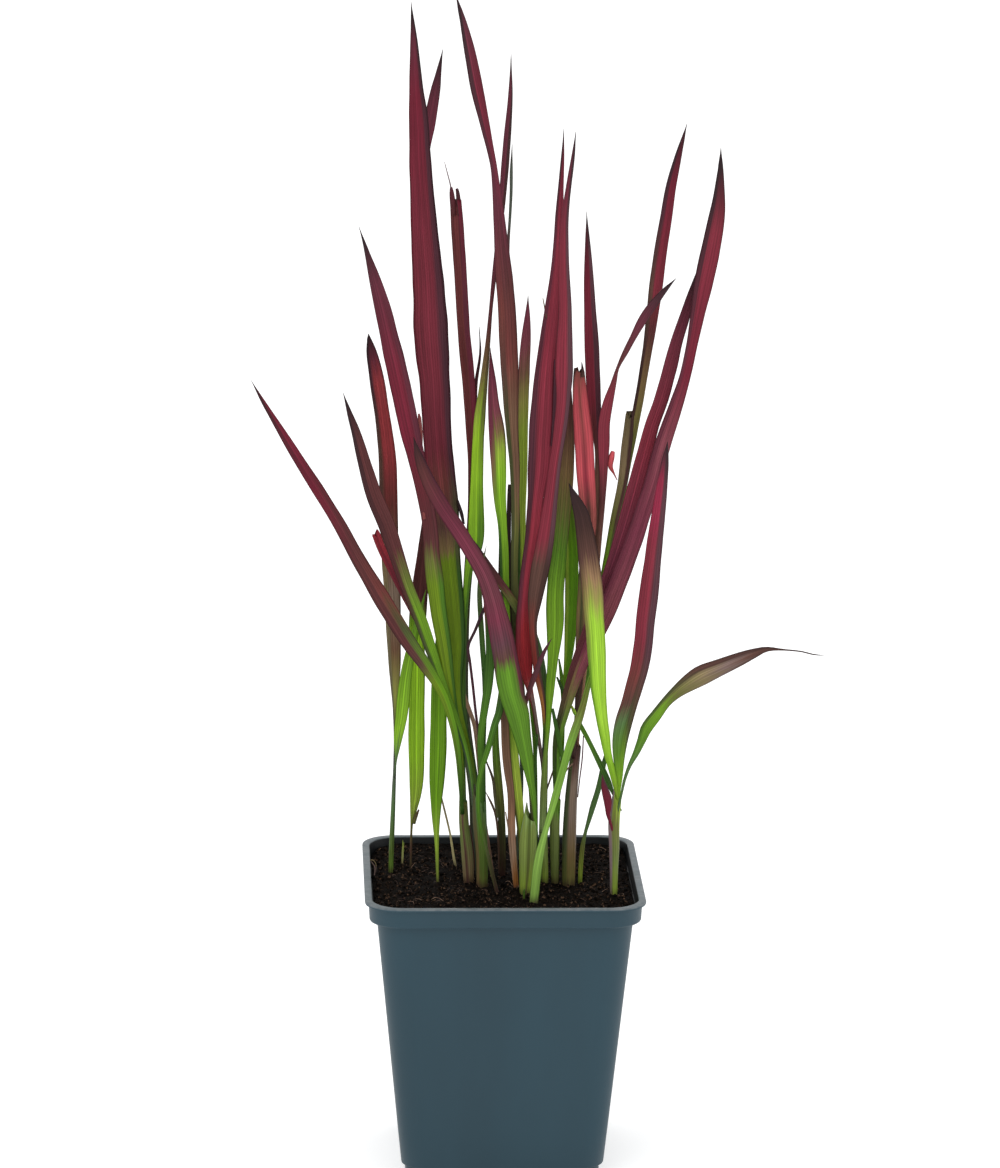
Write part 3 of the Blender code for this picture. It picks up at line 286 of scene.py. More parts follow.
CENTRE_LEAVES = (
    Leaf("leaf_twisted", (-6.2, 1.4, 2.4, -2, -12, -26), 35,
         ((9.6, 113.6, 1.2), (8.9, 124, 1.3), (8, 135, 1.6), (6.4, 150, 2), (4.6, 168, 2.4),
          (3.4, 185, 2.6), (3.1, 198, 2.4), (3.3, 210, 2.6), (3.2, 220, 2.8), (2.9, 230, 3.3),
          (2.1, 240, 3.9), (1.5, 250, 4.8), (1.1, 260, 5.5), (0.5, 270, 5.9), (0, 280, 5.7),
          (-0.9, 290, 5.5), (-1.9, 300, 4.7), (-2.8, 310, 3.6), (-3.85, 320, 2.6), (-4.6, 326, 2.1),
          (-5.7, 331.5, 2.3), (-7.6, 340, 3.1), (-9.9, 350, 3.9), (-11.9, 360, 3.7), (-14.1, 370, 2.5),
          (-17, 381, 0))),
    Leaf("leaf_pink_tip", (-3.6, -3.8, -0.5, 2, 4.5, 7), -15,
         ((6.9, 89.8, 1.8), (6.8, 97, 2), (6.4, 105, 2.4), (5.8, 112, 2.8), (4.9, 120, 3.2),
          (3.8, 130, 3.4), (2.9, 140, 3), (2.3, 150, 2.6), (1.9, 160, 2.4), (1.2, 172, 2.4),
          (0.3, 186, 2.8), (-0.2, 200, 3), (-0.8, 210, 3), (-1.7, 219, 4), (-2.2, 230, 4.9),
          (-2.8, 240, 5.2), (-4, 250, 3.6), (-4.5, 258, 2.4), (-5.2, 268, 0)), True),
    Leaf("leaf_brown_tip", (8, 10.5, 16), 20,
         ((11, 93.4, 1.2), (11, 106, 1.2), (10.8, 120, 1.2), (10.2, 138, 1.3), (8.6, 155, 1.6),
          (6.8, 175, 1.9), (5.8, 195, 2.1), (5.5, 215, 2.3), (5.7, 230, 2.6), (5.5, 240, 3.1),
          (5.5, 250, 3.4), (5.7, 262, 3.7), (6.1, 270, 3.2), (6.4, 276, 2.3), (6.7, 285, 0)), True),
    Leaf("leaf_plum_crossing", (-8, -12, -10), 0,
         ((10.6, 113.2, 1.2), (10.1, 119, 1.7), (9.1, 125, 2.6), (7.9, 132, 4.1), (6.3, 140, 5.5),
          (4.6, 148, 7.4), (2.8, 154, 8.2), (1.1, 163, 8), (-0.5, 172, 7.8), (-2.2, 180, 6.9),
          (-4, 187, 6), (-6.6, 194, 5.3), (-10.4, 201, 5), (-15, 208.5, 5), (-20, 216, 5),
          (-24.4, 224, 4.4), (-27.6, 232, 2.9), (-29.5, 239, 0))),
    Leaf("leaf_green_crossing", (9.5, 6, 3.5, 0.2, -1), 0,
         ((13.2, 93.8, 1.1), (13.2, 107, 1.1), (13.2, 120, 1.4), (13.5, 134, 1.8), (13.8, 143, 2),
          (13.6, 152, 2.2), (12.8, 160, 2.4), (11.3, 168, 2.6), (8.6, 175.5, 2.8), (5, 181.5, 2.8),
          (1.8, 186.5, 2.8), (-1.6, 191.5, 2.6), (-5.2, 197, 2), (-8.6, 202.5, 1.2), (-11, 206.5, 0)),
         True),
    Leaf("leaf_purple_left", (-3.4, -7.5, -7), 0,
         ((-6.7, 120.3, 1.2), (-6.9, 128, 1.8), (-7.2, 136, 2.3), (-6.9, 143, 2.4), (-6, 150, 2.5),
          (-5, 157, 2.9), (-4.4, 165, 2.9), (-4.6, 172, 2.6), (-5, 180, 2.6), (-5.7, 187, 2.4),
          (-6.9, 193, 1.8), (-8.5, 199, 0))),
    Leaf("leaf_narrow_strand", (-10.5, -10, -7), 0,
         ((-1, 88.4, 1.3), (-4.6, 100, 1.3), (-7.4, 112, 1.3), (-7.9, 122, 1.5), (-6.9, 129, 1.7),
          (-5.8, 133, 1.8), (-4.7, 136.7, 2), (-3.8, 140.3, 2.1), (-2.8, 144, 2.3), (-1.7, 147.2, 2.4),
          (-1, 150, 2.1), (-0.9, 153.3, 1.3), (-1.4, 158, 0)), True),
    Leaf("leaf_dark_narrow", (-0.8, -2.2, -2.6), 0,
         ((-5.9, 120.3, 1), (-6.2, 135, 1.2), (-6, 150, 1.4), (-6.2, 160, 1.6), (-6.9, 170, 1.8),
          (-7.6, 180, 1.7), (-8, 188, 1.6), (-7.4, 196, 1.3), (-5.9, 203.5, 0))),
    Leaf("thread_kinked_dark", (0.8, -3, -4.5), 0,
         ((-7.6, 120.3, 0.8), (-7.6, 132, 0.8), (-8, 141, 0.8), (-8.9, 148, 0.9), (-9.9, 157, 0.9),
          (-10.9, 165, 0.9), (-11.5, 170.2, 0.9), (-9.3, 175.5, 1), (-6.6, 182.3, 1), (-4, 188.5, 0))),
    Leaf("blade_dry_pink", (11, 12, 12), 0,
         ((-2.6, 94.2, 0.9), (-5, 108, 0.9), (-7.2, 124, 1), (-8.2, 135, 1.2), (-9, 142.5, 1.4),
          (-9.9, 146, 1.4), (-11.5, 150.5, 1.4), (-13.2, 155, 1.4), (-16.5, 160.5, 1.3), (-19, 167, 0)),
         True),
    Leaf("leaf_tall_centre", (2.6, -0.6, -3.5, -5, -8, -12), 20,
         ((13.2, 114, 1), (13.2, 122, 1), (12.9, 130, 1.1), (11.9, 137, 1.2), (10.9, 143, 1.3),
          (9.8, 150, 1.4), (8.2, 157, 2.4), (7.1, 163, 4.4), (6.7, 170, 5.8), (6.5, 178, 5.4),
          (6.7, 187, 4.6), (7.6, 197, 4.4), (8.9, 208, 4.6), (9.7, 218, 5.3), (10.7, 229, 7.1),
          (11.2, 240, 7.7), (11.7, 250, 7.3), (12.3, 260, 6.5), (13.5, 272, 5.6), (14.3, 280, 4.9),
          (15.2, 290, 3.6), (15.9, 300, 3), (16.3, 310, 2.6), (16.7, 320, 1.8), (17.2, 330, 1),
          (17.5, 338.5, 0))),
    Leaf("leaf_tall_centre_right", (1.7, -1.5, -7, -10, -16, -24), -30,
         ((14.1, 114, 0.9), (14.1, 125, 1), (14, 135, 1.2), (13.5, 143, 1.4), (13, 150, 1.6),
          (12.2, 155, 2), (11, 161, 2.4), (9.9, 170, 2.4), (9.3, 178, 2.8), (9.9, 186, 4.6),
          (11.1, 194, 5.8), (12.5, 202, 5.8), (13.6, 210, 5.1), (14.8, 220, 4.3), (15.9, 230, 3.7),
          (17.2, 240, 4), (18.2, 250, 4.4), (18.45, 260, 5.6), (18.5, 270, 5.1), (18.6, 280, 4.2),
          (18.2, 290, 3.6), (18, 300, 3), (18.2, 310, 2.4), (19.3, 320, 1.7), (20.6, 330, 1),
          (21.3, 337.5, 0))),
    Leaf("leaf_centre_green", (-0.2, -1.8, 0.5, 3, 4), 10,
         ((13.1, 114, 2.2), (13.3, 122, 2.2), (13.5, 129, 1.8), (14, 137, 1.5), (14.5, 144, 1.6),
          (14.8, 150, 1.9), (15, 155, 2.7), (15.5, 162, 3.1), (15.8, 166, 3.5), (16.2, 172, 4.7),
          (16.4, 178, 5.6), (16.3, 185, 5.8), (16.6, 192, 5.5), (17.2, 198, 5.1), (18, 206, 4.8),
          (18.8, 216, 4.8), (19.4, 226, 4.9), (19.8, 236, 4.4), (19.9, 246, 3.3), (19.8, 255, 1.9),
          (19.6, 263, 0))),
    Leaf("leaf_narrow_green", (2.4, 6, 9), 0,
         ((17.9, 120.6, 1), (18.9, 130, 1.1), (19.3, 138, 1.1), (19.4, 146, 1.2), (19.7, 154, 1.3),
          (20.2, 161, 1.9), (20.9, 168, 2.9), (21.4, 176, 3.9), (21.7, 185, 4.4), (21.6, 195, 4.4),
          (21.3, 204, 4.2), (20.8, 212, 3.4), (20.3, 220, 2.2), (19.9, 229, 0))),
    Leaf("blade_small_dark", (-7.1, -7.8, -8.5), 0,
         ((10.6, 113.2, 0.8), (9.4, 123, 0.8), (7.8, 133, 0.9), (6.6, 143, 1.1), (6.9, 150, 1.3),
          (8.4, 155.5, 1.6), (10.2, 161, 1.8), (12, 166, 1.5), (13.6, 169.6, 1), (15.4, 172.8, 0))),
    Leaf("leaf_brown_sheath", (-7.3, -5, -5), 0,
         ((5, 90, 1.6), (4.2, 96, 2), (3.5, 102, 2.4), (3, 109, 2.5), (2.9, 116, 2.4),
          (2.6, 122, 2.3), (1.6, 129, 2.6), (0.9, 136, 2.7), (0.6, 143, 2.6), (0.1, 150, 2.2),
          (-0.4, 158, 1.4), (-0.8, 166, 0)), True),
    Leaf("leaf_olive_sheath", (7.4, 2, -2), 0,
         ((0.3, 93.2, 1.9), (0.3, 98, 1.9), (0.2, 104, 2), (-0.1, 110, 2.3), (-0.6, 117, 2.5),
          (-1.3, 124, 2.6), (-2, 131, 2.6), (-2.4, 138, 2.2), (-2.3, 145, 1.6), (-1.6, 152, 0.9),
          (-1.2, 158, 0)), True),
    Leaf("leaf_front_green", (-22, -15, -6), 20,
         ((10.2, 85.2, 2.8), (10.9, 91, 2.9), (11.5, 96, 3), (12.3, 101, 2.8), (13.3, 105.5, 2.2),
          (14.5, 110.5, 1.9), (15.9, 115.5, 2.2), (17.1, 120, 2.4), (18.4, 125, 2.5), (19.7, 130, 2.5),
          (21, 135, 2.6), (22.5, 140, 2.8), (24.1, 145, 2.7), (25.6, 150, 2.2), (26.9, 155.5, 1.8),
          (28.2, 161, 1.3), (29.2, 166, 0)), True),
)
RIGHT_LEAVES = (
    Leaf("leaf_coral_folded", (0.6, -0.5, -6), 0,
         ((23.2, 138.8, 1.2), (23.8, 148, 1.6), (24.4, 158, 2.4), (24.6, 168, 3), (24.8, 179, 3.2),
          (25.4, 190, 3.6), (26.4, 202, 4.2), (26.9, 211, 5), (26.4, 219, 5.5), (25.7, 227, 5.9),
          (25.2, 235, 6), (24.6, 242.5, 5.8), (23.8, 250, 5), (23.3, 257, 4.1), (23.2, 262, 3.2)),
         False, True),
    Leaf("leaf_slim_right", (9, 10.5, 15), -20,
         ((23, 94, 1.2), (23.4, 115, 1.2), (23.9, 139, 1.2), (25, 158, 1.4), (26.2, 170, 1.6),
          (27.8, 185, 1.8), (29, 198, 2), (29.6, 212, 2.2), (29.7, 225, 2.2), (29.4, 235, 1.8),
          (28.6, 243, 3.6), (28.2, 250, 4.3), (27.6, 260, 4.7), (27.1, 270, 4.7), (26.5, 280, 3.9),
          (26, 290, 3.2), (25.6, 300, 2), (25, 312, 0)), True),
    Leaf("leaf_slender_crossing", (2.2, 3.2, 3, -2, -14, -28), 30,
         ((24.2, 138.8, 1), (25, 150, 1.1), (26.5, 165, 1.3), (28.3, 180, 1.5), (29.6, 195, 1.6),
          (30.3, 205, 1.6), (31, 216, 1.9), (31.4, 226, 2.5), (31.4, 236, 3.6), (31.4, 243, 3.8),
          (32.5, 250, 3.3), (34.3, 257, 1.8), (35.5, 261.5, 1), (37.8, 266.5, 1.8), (40.3, 271.5, 2.1),
          (43.2, 277, 2.8), (46.1, 281.5, 2.8), (49.5, 286, 1.8), (53.7, 290.5, 0))),
    Leaf("leaf_stub_olive", (3.8, 5.8, 6, 5, 4), 10,
         ((23.6, 138.8, 1), (25.4, 150, 1.1), (27.5, 165, 1.4), (29.8, 180, 1.8), (32, 194, 2.1),
          (33.6, 204, 2.2), (35.1, 212.5, 2.5), (37.1, 222, 2.9), (38, 228, 3.3), (38.5, 234, 3.4),
          (39.1, 240, 3.3), (39.6, 247, 2.7)),
         False, True),
    Leaf("leaf_right_olive", (14, 19, 34), -25,
         ((23, 94.5, 1.1), (22.6, 118, 1.1), (23.4, 138, 1.1), (25, 150, 1.2), (27.6, 165, 1.4),
          (30.3, 180, 1.8), (32.8, 195, 2.4), (35, 207, 2.6), (37, 219, 2.8), (38.8, 230, 2.9),
          (40.7, 241, 3), (42.5, 251, 3), (44, 261, 3), (45.3, 270, 3.3), (46.5, 280, 4.1),
          (47.6, 290, 4.4), (48.8, 300, 4.2), (50.3, 310, 3.9), (51.7, 320, 3.4), (53.7, 329, 2.4),
          (55.2, 335, 1.2), (56.4, 340, 0)), True),
    Leaf("leaf_right_pair_front", (0.2, -4, -6, -7, -10, -18), 25,
         ((17.9, 120.6, 1.2), (17.7, 130, 1.4), (18.3, 140, 1.8), (20.2, 148, 2.2), (22.4, 155.5, 2.8),
          (24.9, 163, 3.6), (28, 170.5, 4.7), (31.8, 179, 5.7), (35.3, 188, 6), (38.6, 197, 5.8),
          (41.7, 206, 5.5), (44.4, 215, 5.4), (46.8, 223, 5.2), (48.8, 231, 5.2), (51, 239, 5.1),
          (54.2, 249, 4.5), (57.1, 259, 3.6), (59.1, 269, 3.7), (60.8, 279, 4.6), (62.7, 290, 6),
          (64.4, 299, 6.1), (65.8, 307, 5.6), (66.8, 315, 4.2), (67.2, 324, 2.2), (67.3, 332.5, 0))),
    Leaf("leaf_right_pair_behind", (1.3, -1.6, -3.2, -4, -5, -6), 20,
         ((17, 120.6, 1), (16.7, 130, 1.3), (17, 140, 1.6), (18.7, 148, 2), (20.7, 156, 2.4),
          (23, 164, 2.9), (25.7, 172, 3.2), (29, 181, 3.5), (32.2, 190, 3.9), (35.2, 199, 4.3),
          (37.9, 208, 4.9), (40.3, 217, 5.3), (42.6, 226, 5.2), (44.6, 234, 5), (46.8, 243, 4.6),
          (49.5, 251, 4.6), (52.1, 261, 4.4), (54.2, 270, 3.9), (56.9, 279, 3.3), (59, 287, 2.1),
          (60.7, 294, 0))),
    Leaf("leaf_bright_green", (-14.6, -15, -8), 0,
         ((37, 120.6, 0.9), (36.3, 125, 1.8), (35.1, 130, 2.2), (33.8, 135, 2.7), (33, 140, 3.3),
          (32.1, 145, 3.7), (31.4, 150, 4.2), (30.7, 156, 5), (30.1, 165.5, 5.7), (29.4, 175.4, 6.2),
          (28.8, 182, 6.5), (28.3, 188.7, 6.8), (27.5, 195.4, 6.9), (26.3, 204, 6.2), (25.4, 209.5, 5.5),
          (24.2, 214.5, 4.6), (22.4, 219, 2.9), (20.3, 224, 0))),
    Leaf("leaf_right_upright", (-13.4, -20, -34), -25,
         ((37.6, 120.6, 1.1), (37.8, 127, 2.3), (37.6, 133, 3.7), (37.9, 139, 5), (39, 145, 5.5),
          (40.7, 151, 5.4), (42.3, 157, 5.6), (43.8, 163, 5.9), (45, 171, 6), (45.6, 179, 6.1),
          (46.5, 187, 6.2), (47.4, 196, 5.5), (48.4, 206, 5), (49.5, 216, 4.2), (50.6, 226, 3.2),
          (51.3, 232, 2.1), (51.8, 237.5, 0))),
    Leaf("leaf_right_arching", (-15.4, -25, -40), 15,
         ((38.5, 120.6, 0.8), (39.6, 126, 1), (41.1, 130.5, 1.3), (43.1, 134.6, 2), (44.8, 138.8, 2.8),
          (46.4, 143, 3.7), (49.4, 147.2, 3.7), (52.4, 151.4, 3.3), (55.4, 154.5, 3.9), (59, 157.4, 5.2),
          (64, 160.6, 6.4), (70, 163.3, 5.4), (76, 165.9, 4.4), (81, 168, 3), (85, 169.3, 1.6),
          (90, 169.1, 0.6), (96, 168.5, 0.45), (100, 167.5, 0.4), (103.5, 167.2, 0))),
    Leaf("leaf_right_small_red", (-14.8, -17.6, -20), 0,
         ((35.3, 110.6, 0.8), (34.3, 114, 1.3), (34.3, 117, 2.3), (33.9, 120, 2.8), (32.9, 123.5, 2),
          (32.2, 127.5, 0))),
    Leaf("leaf_right_thin_dark", (-12.6, -10, -6), 0,
         ((36.1, 120.6, 0.9), (34.5, 124.3, 1.9), (32.9, 128.1, 1.9), (31.2, 131.6, 1.8), (29.5, 135.1, 1.6),
          (27.9, 138.4, 1.5), (26.2, 141.7, 1.5), (24.5, 144.9, 1.3), (22.8, 148.3, 0))),
    Leaf("leaf_thin_petiole", (1.8, -2, -5), 0,
         ((25.4, 92, 1.3), (25.6, 98, 1.6), (26.1, 103, 1.5), (27, 108, 1.1), (28.2, 112.5, 1.5),
          (29.4, 117, 1.9), (30.6, 121, 1.8), (31.6, 125, 1.9), (32.4, 129.5, 1.7), (33.3, 134, 1.2),
          (34, 138, 0)), True),
)
LOW_LEAVES = (
    Leaf("leaf_thread_tip_centre", (3, 5, 4), 0,
         ((4.2, 92, 1.1), (5.2, 108, 1.1), (6.2, 124, 1.1), (5.2, 150, 1.4), (4.4, 180, 1.8),
          (3.8, 210, 2.2), (2.4, 240, 2.4), (1.2, 265, 2.2), (0.3, 285, 1.6), (0.2, 300, 1),
          (0.7, 310, 0.9), (1, 318, 1), (1, 325, 1), (1.2, 333.5, 0)), True),
    Leaf("leaf_thread_tip_left", (20, 24, 26, 28), 0,
         ((-9, 96.4, 1), (-9.2, 110, 1), (-9.8, 124, 1), (-11, 138, 1.2), (-12.2, 155, 1.4),
          (-12.4, 175, 1.6), (-11.6, 195, 1.8), (-10, 215, 1.8), (-9.6, 230, 1.8), (-9.9, 245, 1.6),
          (-9.7, 256, 1.2), (-8.4, 266, 0.8), (-8.8, 275, 0)), True),
    Leaf("stalk_straw", (18.6, 19, 19.4), 0,
         ((-14.6, 96, 0.8), (-15.6, 100, 0.8), (-17, 108, 0.7), (-19.5, 118.5, 0.6), (-20.6, 123, 0)), True),
    Leaf("stub_yellow", (22, 22, 22), 0,
         ((-32.6, 97, 0.7), (-32.3, 101, 0.7), (-32.1, 105, 0.6)), True, True),
    Leaf("sliver_dry", (9, 7, 4), 0,
         ((-0.6, 93.8, 0.8), (-1.2, 106, 0.8), (-2.2, 114, 0.8), (-4, 118.7, 0.7), (-5.8, 122.2, 0)), True),
    Leaf("stub_front", (-19.5, -19.5, -19.5), 0,
         ((7.2, 85.8, 0.9), (7.2, 87, 0.8), (7.3, 88.6, 0.6)), True, True),
)

# Colours as red, green and blue from 0 to 255.
PALETTE = {
    "near black": (42, 26, 30),
    "dark plum": (72, 36, 46),
    "plum": (94, 38, 52),
    "grey plum": (88, 54, 62),
    "crimson": (122, 40, 54),
    "wine": (108, 28, 46),
    "rose": (142, 46, 60),
    "coral": (192, 78, 86),
    "coral brown": (148, 78, 72),
    "brick": (125, 48, 42),
    "russet": (106, 52, 48),
    "brown red": (86, 44, 44),
    "brown": (86, 58, 50),
    "dark brown": (62, 40, 36),
    "pink brown": (118, 84, 70),
    "tan pink": (152, 112, 86),
    "olive brown": (120, 100, 62),
    "olive": (102, 106, 50),
    "dark olive": (74, 78, 44),
    "grey olive": (132, 116, 84),
    "mauve brown": (116, 96, 90),
    "dark green": (50, 84, 28),
    "deep green": (68, 107, 24),
    "mid green": (86, 128, 32),
    "fresh green": (106, 148, 32),
    "bright green": (128, 174, 38),
    "lime": (154, 200, 56),
    "yellow green": (142, 168, 56),
    "grey green": (80, 108, 62),
    "stem grey": (74, 80, 70),
    "sheath green": (108, 122, 64),
    "pale green": (136, 160, 96),
    "straw": (206, 194, 142),
    "dry brown": (122, 96, 80),
    "dry pale": (158, 128, 106),
    "rust": (150, 98, 50),
    "purple grey": (130, 110, 112),
    "grey moss": (70, 80, 50),
    "mauve tan": (130, 110, 95),
    "mauve red": (120, 60, 70),
    "red plum": (108, 45, 62),
    "dark mauve": (100, 50, 60),
    "deep crimson": (110, 37, 50),
    "deep red": (100, 45, 45),
    "scarlet": (142, 44, 54),
    "magenta": (140, 38, 64),
    "warm brown": (115, 85, 65),
    "light brown": (144, 114, 82),
    "soft brown": (110, 80, 60),
    "bronze": (86, 76, 50),
    "pale lime": (162, 186, 64),
    "vivid green": (150, 196, 42),
    "moss green": (98, 142, 20),
    "soft green": (108, 148, 54),
    "light green": (126, 164, 72),
    "olive green": (104, 131, 22),
    "grass green": (88, 136, 14),
    "sheath light": (126, 144, 68),
    "sheath olive": (82, 102, 42),
    "tan olive": (144, 143, 72),
    "rose brick": (144, 54, 58),
    "dusty rose": (132, 68, 66),
    "blood red": (142, 32, 38),
}

# How a blade is coloured: heights in millimetres and the colours there from foot to tip, an optional strip
# along it with colours of its own (from, to, stops) between its left margin at 0 and its right one at 1,
# which are partly the blade's own colouring and partly painted light and shade on one side of its fold,
# how pale its midrib is, and over how many millimetres its colours run raggedly into each other.
Look = namedtuple("Look", "stops strip rib ragged", defaults=(None, 0.1, 5.0))

